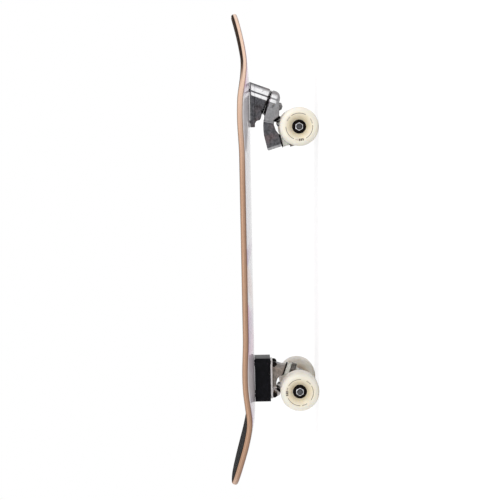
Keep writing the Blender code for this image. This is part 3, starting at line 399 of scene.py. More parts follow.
@dataclass(frozen=True)
class Grit:
    """Grip tape: black grit of close, uneven grains."""

    name: str
    colour: Colour
    glint: Colour
    grain: float = 1500.0
    fine: Noise = Noise(2400.0, 2.0, 0.6, 0.62, 0.75)
    worn: Noise = Noise(14.0, 4.0, 0.6, 0.5, 0.8)

    def make(self) -> Material:
        """Return the material."""
        paint = Paint(self.name)
        grains = paint.take(
            "ShaderNodeTexVoronoi", {"Vector": paint.place, "Scale": self.grain}, "Distance")
        fine = paint.noise(self.fine)
        speck = paint.ease(fine, self.fine.start, self.fine.end)
        colour = paint.blend(
            speck * 0.75 + paint.patches(self.worn) * 0.12, self.colour, self.glint)
        relief = paint.bump(1.0 - grains, 0.0005, 0.9)
        relief = paint.bump(fine, 0.0002, 0.6, relief)
        return paint.finish(
            Base_Color=colour, Roughness=0.9, Normal=relief, Specular_IOR_Level=0.12)


class Stripe(NamedTuple):
    """A soft paint band: how fast it runs along X, Y and the drift, and where its wave shows."""

    colour: Colour
    along: float
    across: float
    drift: float
    shift: float
    start: float
    end: float
    share: float


@dataclass(frozen=True)
class PaintedMaple:
    """A pressed maple deck: plies at the edge, gloss paint with soft bands below, stain on top.

    Shares of the way through the deck run from 0 at the underside to 1 at the top.
    """

    name: str
    pale_ply: Colour
    brown_ply: Colour
    glue: Colour
    ground: Colour
    stripes: tuple[Stripe, Stripe]
    thin_stripe: Colour
    tape: Colour
    # A paler ply colour, painted light towards the nose.
    nose_ply: Colour
    stain: Colour = (0.02, 0.02, 0.02)
    plies: int = 7
    # Where the painted shade on the edge's lower half fades out.
    ply_fade: Flat = (0.30, 0.52)
    glue_line: Flat = (0.02, 0.12)
    nose_light: Flat = (0.10, 0.33)
    # Painted shade along the lower arris.
    lower_arris: Flat = (0.08, 0.22)
    filed_through: Flat = (0.86, 0.94)
    filed_along: Flat = (0.02, 0.20)
    tape_through: Flat = (0.54, 0.66)
    tape_along: Flat = (0.275, 0.325)
    matt_through: Flat = (0.84, 0.97)
    rim_fade: Flat = (0.50, 0.62)
    plain_front: Place = (0.145, 0.127, 0.015)
    plain_rear: Place = (-0.215, 0.046, 0.012)
    grain: Noise = Noise(60.0, 4.0, 0.6, stretch=(1.0, 14.0, 14.0))
    pores: Noise = Noise(320.0, 3.0, 0.6, 0.5, 0.72, (1.0, 9.0, 9.0))
    drift: Noise = Noise(5.0, 2.0)
    wobble: Noise = Noise(35.0, 3.0, 0.6)
    scuff: Noise = Noise(70.0, 4.0, 0.65, 0.52, 0.75, (0.2, 1.0, 1.0))

    def ply_colour(self, paint: Paint, through: Field, x: Field) -> Field:
        """Return the edge's colour, ply by ply, with painted shade on its lower half and lower
        arris and painted light towards the nose.

        Args:
            paint: the material's bench.
            through: the share of the way through the deck.
            x: the place along the deck.

        Returns:
            The colour.
        """
        level = paint.clamp(through * 0.94 + paint.noise(self.grain) * 0.12 - 0.04)
        # Painted shade: the lower half of the edge turns to the brown ply colour.
        fade_from, fade_to = self.ply_fade
        tone = paint.ramp(level, ((0.0, self.brown_ply), (fade_from, self.brown_ply),
                                  (fade_to, self.pale_ply), (1.0, self.pale_ply)))
        ply = through * float(self.plies)
        odd = paint.math("FRACT", paint.math("FLOOR", ply) * 0.5) * 2.0
        tone = paint.blend(odd * 0.42, tone, paint.blend(0.5, self.brown_ply, self.glue))
        step = paint.math("FRACT", ply)
        line = 1.0 - paint.ease(paint.math("MINIMUM", step, 1.0 - step), *self.glue_line)
        tone = paint.blend(line * 0.45, tone, self.glue)
        tone = paint.blend(paint.patches(self.pores) * 0.35, tone, self.glue)
        # Painted light: the plies turn paler towards the nose.
        tone = paint.blend(
            paint.ease(x, *self.nose_light), tone, paint.blend(level * 0.6, self.nose_ply, tone))
        # Painted shade along the lower arris.
        lower = 1.0 - paint.ease(through, *self.lower_arris)
        tone = paint.blend(lower * 0.80, tone, self.glue)
        filed = paint.ease(through, *self.filed_through)
        tone = paint.blend(filed * paint.ease(x, *self.filed_along) * 0.6, tone, self.glue)
        return paint.blend(self.tape_share(paint, through, x) * 0.97, tone, self.tape)

    def tape_share(self, paint: Paint, through: Field, x: Field) -> Field:
        """Return where the grip tape is filed down over the nose's top arris."""
        return paint.ease(through, *self.tape_through) * paint.ease(x, *self.tape_along)

    def painted_colour(self, paint: Paint, x: Field, y: Field) -> Field:
        """Return the underside's gloss paint: a pale ground crossed by soft slanting bands.

        Args:
            paint: the material's bench.
            x: the place along the deck.
            y: the place across it.

        Returns:
            The colour.
        """
        drift = paint.noise(self.drift)
        tone: Colour | Field = self.ground
        runs = []
        for stripe in self.stripes:
            run = x * stripe.along + y * stripe.across + drift * stripe.drift + stripe.shift
            band = paint.ease(paint.wave(run * math.tau), stripe.start, stripe.end)
            tone = paint.blend(band * stripe.share, tone, stripe.colour)
            runs.append(run)
        thin = paint.window(paint.math("FRACT", runs[0] * 1.5 + 0.533), 0.5, 0.12, 0.05)
        tone = paint.blend(thin * 0.6, tone, self.thin_stripe)
        plain = paint.window(x, *self.plain_front) + paint.window(x, *self.plain_rear) * 0.8
        return paint.blend(paint.clamp(plain), tone, self.ground)

    def make(self) -> Material:
        """Return the material."""
        paint = Paint(self.name)
        through, rim = paint.kept("through"), paint.kept("rim")
        x, y, _ = paint.parts(paint.place)
        faces = paint.blend(paint.ease(through, 0.45, 0.55), self.painted_colour(paint, x, y),
                            paint.blend(0.7, self.brown_ply, self.stain))
        on_edge = paint.ease(rim + paint.noise(self.wobble) * 0.10, *self.rim_fade)
        colour = paint.blend(on_edge, faces, self.ply_colour(paint, through, x))
        scuff = paint.noise(self.scuff)
        worn = paint.ease(scuff, self.scuff.start, self.scuff.end)
        matt = paint.clamp(
            self.tape_share(paint, through, x) * on_edge + paint.ease(through, *self.matt_through))
        roughness = paint.clamp(0.09 + on_edge * 0.30 + worn * 0.12) + matt * 0.5
        relief = paint.bump(paint.wave(through * (math.tau * self.plies)) * on_edge, 0.0001, 0.4)
        relief = paint.bump(scuff, 0.0001, 0.2, relief)
        return paint.finish(Base_Color=colour, Roughness=roughness, Normal=relief,
                            Specular_IOR_Level=0.35 - matt * 0.34)


class Mark(NamedTuple):
    """A row of printed dashes on a wheel's face.

    Each group of three is a window's middle, half and softness: across the ring, in metres from
    its own circle, and round it, in shares of its sector. The last is for one dash.
    """

    across: Place
    sector: Place
    by_third: bool
    dashes: float = 0.0
    dash: Place = (0.5, 0.5, 0.0)


@dataclass(frozen=True)
class Urethane:
    """Cast wheel urethane: cream, a little uneven, with a ring of plain printed marks; a painted
    shade darkens and warms the dished face towards the hub.
    """

    name: str
    cream: Colour
    warm: Colour
    ink: Colour
    ring: float = 0.0222
    face: float = 0.010
    # Radii over which the painted shade of the dished face fades out.
    dish: Flat = (0.0165, 0.0290)
    tread: Flat = (0.0285, 0.0318)
    turning: float = 2700.0
    fine_turning: float = 9000.0
    marks: tuple[Mark, ...] = (
        Mark((0.0, 0.00042, 0.00012), (0.36, 0.27, 0.004), True),
        Mark((0.0, 0.0009, 0.00015), (0.79, 0.097, 0.003), True, 26.0, (0.5, 0.24, 0.06)),
        Mark((-0.0002, 0.0020, 0.00015), (0.97, 0.0305, 0.001), False, 50.0, (0.5, 0.36, 0.05)))
    cloud: Noise = Noise(55.0)
    worn: Noise = Noise(700.0, 3.0, 0.6, 0.30, 0.42)
    scuff: Noise = Noise(160.0, 4.0, 0.65, stretch=(1.0, 0.15, 1.0))

    def ink_share(self, paint: Paint, radius: Field, turn: Field) -> Field:
        """Return where ink lies on the wheel's face.

        Args:
            paint: the material's bench.
            radius: the distance from the axle.
            turn: the turn about the axle, from 0 to 1.

        Returns:
            The share of ink.
        """
        third = paint.math("FRACT", turn * 3.0)
        inked: Operand = 0.0
        for mark in self.marks:
            middle, half, soft = mark.across
            sector = third if mark.by_third else turn
            share = paint.window(radius, self.ring + middle, half, soft)
            if mark.dashes:
                share *= paint.window(paint.math("FRACT", sector * mark.dashes), *mark.dash)
            inked = share * paint.window(sector, *mark.sector) + inked
        return paint.clamp(inked)

    def make(self) -> Material:
        """Return the material."""
        paint = Paint(self.name)
        x, y, z = paint.parts(paint.kept("spin_place", "Vector"))
        radius = paint.math("SQRT", x * x + y * y)
        turn = paint.math("ARCTAN2", y, x) / math.tau + 0.5
        # Painted shade in the dished face, deepest towards the hub, broken by turning rings and
        # random cloud.
        dish = 1.0 - paint.ease(radius, *self.dish)
        ripple = paint.wave(radius * self.turning)
        dish_shade = dish * (0.42 + ripple * 0.3) + paint.noise(self.cloud) * 0.3 - 0.1
        base = paint.blend(paint.clamp(dish_shade), self.cream, self.warm)
        outside = paint.ease(z, self.face, self.face + 0.001)
        inked = self.ink_share(paint, radius, turn) * outside
        colour = paint.blend(inked * (0.7 + paint.patches(self.worn) * 0.25), base, self.ink)
        tread = paint.ease(radius, *self.tread)
        scuff = paint.noise(self.scuff)
        colour = paint.blend(tread * paint.ease(scuff, 0.5, 0.8) * 0.25, colour, self.warm)
        roughness = 0.30 + tread * 0.14 + paint.ease(scuff, 0.45, 0.8) * 0.12
        relief = paint.bump(paint.wave(radius * self.fine_turning), 0.00003, 0.25)
        relief = paint.bump(scuff, 0.0001, 0.2, relief)
        return paint.finish(
            Base_Color=colour, Roughness=paint.clamp(roughness), Normal=relief,
            Subsurface_Weight=0.25, Subsurface_Scale=0.004, Subsurface_Radius=(1.0, 0.8, 0.5))


@dataclass(frozen=True)
class Gel:
    """Soft pale urethane with a milky depth, for the bushings."""

    name: str
    pale: Colour
    deep: Colour
    cloud: Noise = Noise(210.0, 3.0, 0.5, 0.3, 0.75)
    haze: Noise = Noise(1500.0, 2.0)

    def make(self) -> Material:
        """Return the material."""
        paint = Paint(self.name)
        haze = paint.noise(self.haze)
        return paint.finish(
            Base_Color=paint.blend(paint.patches(self.cloud), self.pale, self.deep),
            Roughness=paint.clamp(0.24 + haze * 0.2), Normal=paint.bump(haze, 0.00004, 0.3),
            Subsurface_Weight=0.35, Subsurface_Scale=0.004, Subsurface_Radius=(0.8, 1.0, 0.8))


class Finish(Enum):
    """Every finish on the board, with the record's slot that it stands for."""

    DECK = ("maple", PaintedMaple(
        "deck_maple", pale_ply=(0.61, 0.368, 0.238), brown_ply=(0.37, 0.213, 0.136),
        glue=(0.13, 0.068, 0.038), ground=(0.77, 0.75, 0.78),
        stripes=(Stripe((0.62, 0.36, 0.50), 4.2, 2.6, 0.8, 0.788, 0.55, 0.80, 1.0),
                 Stripe((0.45, 0.32, 0.46), 7.4, -3.3, 1.0, 0.428, 0.70, 0.86, 0.8)),
        thin_stripe=(0.74, 0.49, 0.41), tape=(0.012, 0.009, 0.008), nose_ply=(0.88, 0.64, 0.50)))
    GRIP = ("grip", Grit("grip_grit", (0.009, 0.008, 0.008), (0.055, 0.052, 0.052)))
    # Each casting's first colour is its painted highlight; the second is its own dull skin.
    FRONT_CAST = ("front_casting", CastMetal(
        "gunmetal_casting", (0.95, 0.95, 0.96), (0.090, 0.090, 0.100), 0.16, 0.42,
        tint=(1.35, 1.05, 1.0)))
    REAR_CAST = ("rear_casting", CastMetal(
        "silver_casting", (0.68, 0.66, 0.67), (0.175, 0.150, 0.130), 0.24, 0.45,
        tint=(1.3, 1.15, 1.0)))
    # The hanger also gets random patches of painted highlight.
    HANGER = ("hanger_metal", CastMetal(
        "hanger_casting", (0.80, 0.79, 0.78), (0.115, 0.103, 0.090), 0.14, 0.36, patch_share=0.10))
    STEEL = ("steel", Steel("plated_steel", (0.42, 0.42, 0.43), (0.27, 0.27, 0.28), 0.20, 0.42))
    # A darker copy of the plated steel for the pivot nut: painted shade standing in for the dark
    # reflections on its facets.
    DARK_STEEL = (
        "steel", Steel("shaded_plate", (0.26, 0.25, 0.25), (0.15, 0.145, 0.145), 0.20, 0.42))
    BRIGHT = ("bright_steel", Steel(
        "bright_plate", (0.66, 0.66, 0.68), (0.50, 0.50, 0.52), 0.12, 0.28))
    BLACK_STEEL = ("black_steel", Steel(
        "black_oxide", (0.005, 0.003, 0.002), (0.012, 0.008, 0.006), 0.30, 0.50, metallic=0.0,
        specular=0.07))
    AXLE_STEEL = ("black_steel", Steel(
        "dark_axle", (0.095, 0.095, 0.10), (0.055, 0.055, 0.06), 0.25, 0.45))
    BRONZE = ("bronze", Steel("bronze", (0.55, 0.36, 0.16), (0.42, 0.26, 0.11), 0.28, 0.45))
    PLASTIC = ("black_plastic", Moulding(
        "black_moulding", (0.005, 0.004, 0.004), (0.014, 0.011, 0.010), 0.38, 0.58, specular=0.08))
    RISER = ("black_plastic", Moulding(
        "riser_moulding", (0.003, 0.003, 0.005), (0.010, 0.010, 0.015), 0.30, 0.45, specular=0.09,
        drag=Noise(620.0, 2.0, stretch=(0.03, 0.03, 1.0))))
    # The wheel's second colour is painted shade for the dished face, and also the colour of the
    # tread's scuffs.
    WHEEL = ("urethane", Urethane(
        "wheel_urethane", (0.86, 0.835, 0.745), (0.80, 0.67, 0.43), (0.045, 0.026, 0.016)))
    BUSHING = ("bushing", Gel("bushing_gel", (0.86, 0.87, 0.79), (0.66, 0.68, 0.58)))

    @property
    def slot(self) -> str:
        """Return the record's material slot."""
        return self.value[0]

    @property
    def material(self) -> Material:
        """Return the finish's material, made on first use."""
        made = bpy.data.materials.get(self.value[1].name)
        return made or self.value[1].make()


# Shapes


def shift(x: float, y: float, z: float) -> Matrix:
    """Return a matrix that moves by x, y and z."""
    return Matrix.Translation((x, y, z))


def about(axis: str, degrees: float) -> Matrix:
    """Return a matrix that turns about X, Y or Z."""
    return Matrix.Rotation(math.radians(degrees), 4, axis)


def along(direction: Vector) -> Matrix:
    """Return the turn that takes +Z to a direction in the XZ plane."""
    return Matrix.Rotation(math.atan2(direction.x, direction.z), 4, "Y")


def quarter(steps: int) -> list[float]:
    """Return the angles of a quarter turn taken in so many steps."""
    return [math.pi / 2.0 * step / steps for step in range(steps + 1)]


def circle(radius: float, count: int) -> Section:
    """Return points spread evenly round a circle."""
    turns = [2.0 * math.pi * step / count for step in range(count)]
    return [(radius * math.cos(turn), radius * math.sin(turn)) for turn in turns]


def rectangle(length: float, width: float, radius: float, steps: int = 8) -> Section:
    """Return the outline of a rectangle with round corners.

    Args:
        length: its length along X.
        width: its width along Y.
        radius: the corners' radius.
        steps: how many pieces each corner has.

    Returns:
        The outline's points.
    """
    points: Section = []
    for number, (end, side) in enumerate(((1.0, 1.0), (-1.0, 1.0), (-1.0, -1.0), (1.0, -1.0))):
        x, y = end * (length / 2.0 - radius), side * (width / 2.0 - radius)
        for step in range(steps + 1):
            angle = math.pi / 2.0 * (number + step / steps)
            points.append((x + radius * math.cos(angle), y + radius * math.sin(angle)))
    return points


def rounded(points: Sequence[Flat], radius: float, closed: bool = True, steps: int = 4) -> Section:
    """Return a flat outline with its corners rounded.

    Args:
        points: the outline's corners.
        radius: the rounding, cut down where a side is too short for it.
        closed: whether the outline runs back to its start.
        steps: how many pieces each rounding has.

    Returns:
        The outline's new points.
    """
    made: Section = []
    for index, point in enumerate(points):
        here = Vector(point)
        if not closed and index in (0, len(points) - 1):
            made.append(point)
            continue
        before = Vector(points[index - 1]) - here
        after = Vector(points[(index + 1) % len(points)]) - here
        if min(before.length, after.length) < 1e-9:
            continue
        corner = before.angle(after)
        if corner > math.radians(176.0):
            made.append(point)
            continue
        reach = min(
            radius / max(math.tan(corner / 2.0), 1e-3), 0.45 * before.length, 0.45 * after.length)
        first = here + before.normalized() * reach
        last = here + after.normalized() * reach
        for step in range(steps + 1):
            t = step / steps
            spot = first * (1.0 - t) ** 2 + here * (2.0 * t * (1.0 - t)) + last * t ** 2
            made.append((spot.x, spot.y))
    return made


class Thread(NamedTuple):
    """A screw thread: the height and the depth of one turn, and the chamfer at the tip."""

    pitch: float
    depth: float
    lead: float = 0.0006

    def section(self, radius: float, tip: float, high: float) -> Section:
        """Return the section of a threaded end, ring by ring.

        Args:
            radius: the thread's outer radius.
            tip: the height that the thread starts from.
            high: the height that it stays below.

        Returns:
            The section's (radius, height) points.
        """
        points = [(radius - self.lead, tip)]
        level = tip + self.lead
        while level + self.pitch <= high:
            points += [(radius, level), (radius, level + self.pitch * 0.25),
                       (radius - self.depth, level + self.pitch * 0.55),
                       (radius - self.depth, level + self.pitch * 0.7)]
            level += self.pitch
        return [*points, (radius, level)]


def side_points(places: Sequence[Flat]) -> Section:
    """Return (down, back) places as the (x, z) points of a side outline."""
    return [(back, -down) for down, back in places]


def profile(first: Sequence[Flat], between: Sequence[Vector], last: Sequence[Flat],
            radius: float) -> Section:
    """Return a rounded side outline of (down, back) places, points and (down, back) places."""
    return rounded(
        [*side_points(first), *(tuple(spot.xz) for spot in between), *side_points(last)], radius)


def mesh_of(bm: bmesh.types.BMesh, into: Mesh | None = None) -> Mesh:
    """Turn a bmesh into a mesh, new or given, whose faces point outwards."""
    bmesh.ops.remove_doubles(bm, verts=bm.verts, dist=SAME_POINT)
    bmesh.ops.recalc_face_normals(bm, faces=bm.faces)
    made = into or bpy.data.meshes.new("shape")
    bm.to_mesh(made)
    bm.free()
    return made


def moved(mesh: Mesh, place: Matrix) -> Mesh:
    """Return the mesh after moving its points by a matrix."""
    mesh.transform(place)
    return mesh


def slab(outline: Sequence[Flat], low: float, high: float) -> Mesh:
    """Return a flat outline given thickness along Z.

    Args:
        outline: its (x, y) points.
        low: the lower face's height.
        high: the upper face's height.

    Returns:
        The closed mesh.
    """
    bm = bmesh.new()
    face = bm.faces.new([bm.verts.new((x, y, low)) for x, y in outline])
    lifted = bmesh.ops.extrude_face_region(bm, geom=[face])
    raised = [item for item in lifted["geom"] if isinstance(item, bmesh.types.BMVert)]
    bmesh.ops.translate(bm, verts=raised, vec=(0.0, 0.0, high - low))
    return mesh_of(bm)


def side_slab(outline: Sequence[Flat], half_width: float) -> Mesh:
    """Return a side (x, z) outline given a width across Y."""
    return moved(slab(outline, -half_width, half_width), about("X", 90.0))


def rod(radius: float, low: float, high: float, segments: int = 48) -> Mesh:
    """Return a plain cylinder about Z."""
    return slab(circle(radius, segments), low, high)


def joined(meshes: Iterable[Mesh]) -> Mesh:
    """Return one mesh that holds several."""
    bm = bmesh.new()
    for mesh in meshes:
        bm.from_mesh(mesh)
    made = bpy.data.meshes.new("shape")
    bm.to_mesh(made)
    bm.free()
    return made


def added(name: str, data: bpy.types.ID) -> Thing:
    """Return a new object of a mesh, a camera or a lamp, linked to the scene."""
    made = bpy.data.objects.new(name, data)
    bpy.context.scene.collection.objects.link(made)
    return made


def evaluated(mesh: Mesh, *steps: tuple[str, dict[str, object]]) -> Mesh:
    """Return a mesh after modifiers.

    Args:
        mesh: the mesh to start from.
        steps: each modifier's type and settings, in order; a setting that isn't a property of
            the modifier is one of its node tree's inputs, by identifier.

    Returns:
        The plain mesh that the modifiers give.
    """
    holder = added("holder", mesh)
    for kind, settings in steps:
        step = holder.modifiers.new("step", kind)
        for name, value in settings.items():
            if name in step.bl_rna.properties:
                setattr(step, name, value)
            else:
                step[name] = value
    bpy.context.view_layer.update()
    graph = bpy.context.evaluated_depsgraph_get()
    made = bpy.data.meshes.new_from_object(
        holder.evaluated_get(graph), preserve_all_data_layers=True, depsgraph=graph)
    bpy.data.objects.remove(holder)
    return made


def combined(mesh: Mesh, operation: str, others: Iterable[Mesh]) -> Mesh:
    """Return a mesh after a Boolean with each of several others.

    Args:
        mesh: the mesh to start from.
        operation: the Boolean's operation.
        others: the other meshes, in order.

    Returns:
        The new mesh.
    """
    helpers = [added("helper", other) for other in others]
    steps = [("BOOLEAN", {"operation": operation, "solver": "EXACT", "object": helper})
             for helper in helpers]
    made = evaluated(mesh, *steps)
    for helper in helpers:
        bpy.data.objects.remove(helper)
    return made


def cut(mesh: Mesh, *cutters: Mesh) -> Mesh:
    """Return the mesh with each cutter taken out of it, in order."""
    return combined(mesh, "DIFFERENCE", cutters)


def cast(meshes: Sequence[Mesh], voxel: float, soften: int = 4) -> Mesh:
    """Return overlapping shapes remade as one casting in grains of a size, and softened."""
    return evaluated(
        joined(meshes),
        ("REMESH", {"mode": "VOXEL", "voxel_size": voxel, "use_smooth_shade": True}),
        ("SMOOTH", {"factor": 0.5, "iterations": soften}))


def ramp_up(value: float, start: float, end: float) -> float:
    """Return 0 before start, 1 after end, and a straight ramp between."""
    return min(max((value - start) / (end - start), 0.0), 1.0)


def with_painted_highlight(mesh: Mesh, rule: Callable[[Vector], float]) -> Mesh:
    """Return the mesh with each point's share of painted highlight, from 0 to 1 by a rule, kept as
    an attribute.
    """
    layer = mesh.attributes.new("polish_and_highlight", "FLOAT", "POINT")
    layer.data.foreach_set("value", [rule(vertex.co) for vertex in mesh.vertices])
    return mesh


class Turned(NamedTuple):
    """A shape made on the lathe: its (radius, height) section and how many sides it has."""

    section: Section
    sides: int


@dataclass(frozen=True)
class Pressed:
    """The body that presses a soft piece, and the places of the piece's seat and face."""

    body: str
    seat: Vector
    face: Vector


def stand(
        name: str, shape: Mesh | Turned, place: Matrix, finish: Finish, body: str,
        replaces: Sequence[str] = (), sharp: float = 40.0, pressed: Pressed | None = None) -> None:
    """Add one finished piece to the board.

    Args:
        name: the piece's name.
        shape: its mesh, or what the lathe makes it from.
        place: where it goes.
        finish: its finish.
        body: the moving body that it rides on.
        replaces: the solids that it stands for.
        sharp: the angle past which an edge shows as sharp, in degrees.
        pressed: given for a soft piece, which then stays where it is put instead of riding on its
            body; what it holds is not used.
    """
    mesh = shape
    if isinstance(shape, Turned):
        mesh = turned(*shape, finish)
    moved(mesh, place)
    mesh.name = name
    mesh.materials.clear()
    mesh.materials.append(finish.material)
    mesh.shade_smooth()
    mesh.set_sharp_from_angle(angle=math.radians(sharp))
    piece = added(name, mesh)
    if pressed is None:
        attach(piece, body)
    else:
        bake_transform(piece)
    if replaces:
        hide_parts(*replaces)
    LOG.info("piece %s on %s, %d faces", name, body, len(mesh.polygons))


# Geometry Nodes


class Tree(Bench):
    """A Geometry Nodes tree with named inputs, which ends in Realize Instances and Set Material."""

    def __init__(self, name: str, sizes: dict[str, float | int], wants_stud: bool = False) -> None:
        """Start a tree.

        Args:
            name: the tree's name.
            sizes: each named size and its usual value.
            wants_stud: whether the tree takes an object to set on points.
        """
        super().__init__(bpy.data.node_groups.new(name, "GeometryNodeTree"))
        face = self.tree.interface
        face.new_socket("Geometry", in_out="INPUT", socket_type="NodeSocketGeometry")
        face.new_socket("Geometry", in_out="OUTPUT", socket_type="NodeSocketGeometry")
        for label, value in sizes.items():
            kind = "NodeSocketInt" if isinstance(value, int) else "NodeSocketFloat"
            face.new_socket(label, in_out="INPUT", socket_type=kind).default_value = value
        if wants_stud:
            face.new_socket("Stud", in_out="INPUT", socket_type="NodeSocketObject")
        face.new_socket("Material", in_out="INPUT", socket_type="NodeSocketMaterial")
        self.entry = self.node("NodeGroupInput")
        self.exit = self.node("NodeGroupOutput")

    def __getitem__(self, label: str) -> Field:
        """Return one of the tree's inputs by its label."""
        return Field(self, self.entry.outputs[label])

    def grid(self, rows: Field, columns: Field) -> tuple[Field, Field, Field]:
        """Return a flat grid, and the row and the column of each of its points."""
        made = self.take(
            "GeometryNodeMeshGrid",
            {"Size X": 1.0, "Size Y": 1.0, "Vertices X": rows, "Vertices Y": columns})
        index = self.take("GeometryNodeInputIndex")
        row = self.math("FLOOR", (index + 0.5) / columns)
        return made, row, index - row * columns

    def given_count(self) -> Field:
        """Return how many points come in."""
        return self.take(
            "GeometryNodeAttributeDomainSize", {"Geometry": self["Geometry"]}, "Point Count")

    def given_point(self, index: Field) -> tuple[Field, Field, Field]:
        """Return the x, y and z of one of the points that come in."""
        position = self.take("GeometryNodeInputPosition")
        return self.parts(self.take(
            "GeometryNodeSampleIndex",
            {"Geometry": self["Geometry"], "Value": position, "Index": index}, "Value",
            data_type="FLOAT_VECTOR", domain="POINT"))

    def placed(self, geometry: Field, spot: Field) -> Field:
        """Return the geometry with its points set on their spots."""
        return self.take("GeometryNodeSetPosition", {"Geometry": geometry, "Position": spot})

    def welded(self, geometry: Field) -> Field:
        """Return the geometry with the points that lie together made one."""
        return self.take("GeometryNodeMergeByDistance", {"Geometry": geometry, "Distance": 1e-6})

    def keeping(self, geometry: Field, name: str, value: Field, kind: str = "FLOAT") -> Field:
        """Return the geometry with a value kept on its points as a named attribute."""
        return self.take(
            "GeometryNodeStoreNamedAttribute", {"Geometry": geometry, "Name": name, "Value": value},
            "Geometry", data_type=kind, domain="POINT")

    def close(self, geometry: Field) -> None:
        """Realize, set the material and send the geometry out."""
        whole = self.take("GeometryNodeRealizeInstances", {"Geometry": geometry})
        dressed = self.take(
            "GeometryNodeSetMaterial", {"Geometry": whole, "Material": self["Material"]})
        self.feed(self.exit.inputs["Geometry"], dressed)

    def run(self, points: Sequence[Place], finish: Finish, sizes: dict[str, float | int],
            stud: Thing | None = None) -> Mesh:
        """Run the tree on a row of points.

        Args:
            points: the points that go in, in order.
            finish: the finish that comes out on the mesh.
            sizes: values for the named inputs.
            stud: the object to set on points, where the tree takes one.

        Returns:
            The plain mesh that comes out.
        """
        given = {"Material": finish.material, "Stud": stud, **sizes}
        inputs = {item.identifier: given[item.name] for item in self.tree.interface.items_tree
                  if item.in_out == "INPUT" and item.name in given}
        row = bpy.data.meshes.new("points")
        row.from_pydata(list(points), [], [])
        return evaluated(row, ("NODES", {"node_group": self.tree, **inputs}))


@cache
def lathe() -> Tree:
    """Return the lathe: a grid whose rows follow a section and whose columns go round Z."""
    tree = Tree("lathe", {"Segments": 64})
    segments = tree["Segments"]
    grid, row, column = tree.grid(tree.given_count(), segments + 1.0)
    turn = column / segments * math.tau
    radius, _, height = tree.given_point(row)
    spot = tree.vector(radius * tree.math("COSINE", turn), radius * tree.math("SINE", turn), height)
    place = tree.take("GeometryNodeInputPosition")
    whole = tree.welded(tree.placed(grid, spot))
    tree.close(tree.keeping(whole, "spin_place", place, "FLOAT_VECTOR"))
    return tree


def turned(section: Section, sides: int, finish: Finish = Finish.STEEL) -> Mesh:
    """Return a section of (radius, height) points turned about Z.

    Args:
        section: points that start and end on the axis, or the points of a closed ring.
        sides: how many sides the piece has.
        finish: the finish that the piece gets.

    Returns:
        The closed mesh, which keeps each point's own place as an attribute.
    """
    loop = list(section)
    if max(loop[0][0], loop[-1][0]) > SAME_POINT:
        loop.append(loop[0])
    points = [(radius, 0.0, height) for radius, height in loop]
    made = lathe().run(points, finish, {"Segments": sides})
    bm = bmesh.new()
    bm.from_mesh(made)
    thin = [face for face in bm.faces if face.calc_area() < 1e-13]
    bmesh.ops.delete(bm, geom=thin, context="FACES_ONLY")
    return mesh_of(bm, made)


@cache
def stud_setter() -> Tree:
    """Return the tree that sets a fastener on each point, each turned by chance."""
    tree = Tree("stud_setter", {"Turn": math.tau, "Seed": 3}, wants_stud=True)
    turn = tree.take(
        "FunctionNodeRandomValue", {2: 0.0, 3: tree["Turn"], "Seed": tree["Seed"]}, 1,
        data_type="FLOAT")
    stud = tree.take("GeometryNodeObjectInfo", {"Object": tree["Stud"]}, "Geometry")
    tree.close(tree.take("GeometryNodeInstanceOnPoints", {
        "Points": tree["Geometry"], "Instance": stud, "Rotation": tree.vector(0.0, 0.0, turn)}))
    return tree


def repeated(stud: Mesh, seats: Sequence[Place], finish: Finish, seed: int) -> Mesh:
    """Return one mesh of a fastener set on each of several seats.

    Args:
        stud: the fastener, standing at the origin.
        seats: where each one goes.
        finish: the finish that they get.
        seed: picks how each is turned.

    Returns:
        The mesh.
    """
    model = added("stud", stud)
    made = stud_setter().run(seats, finish, {"Seed": seed}, model)
    bpy.data.objects.remove(model)
    return made


# Where things lie


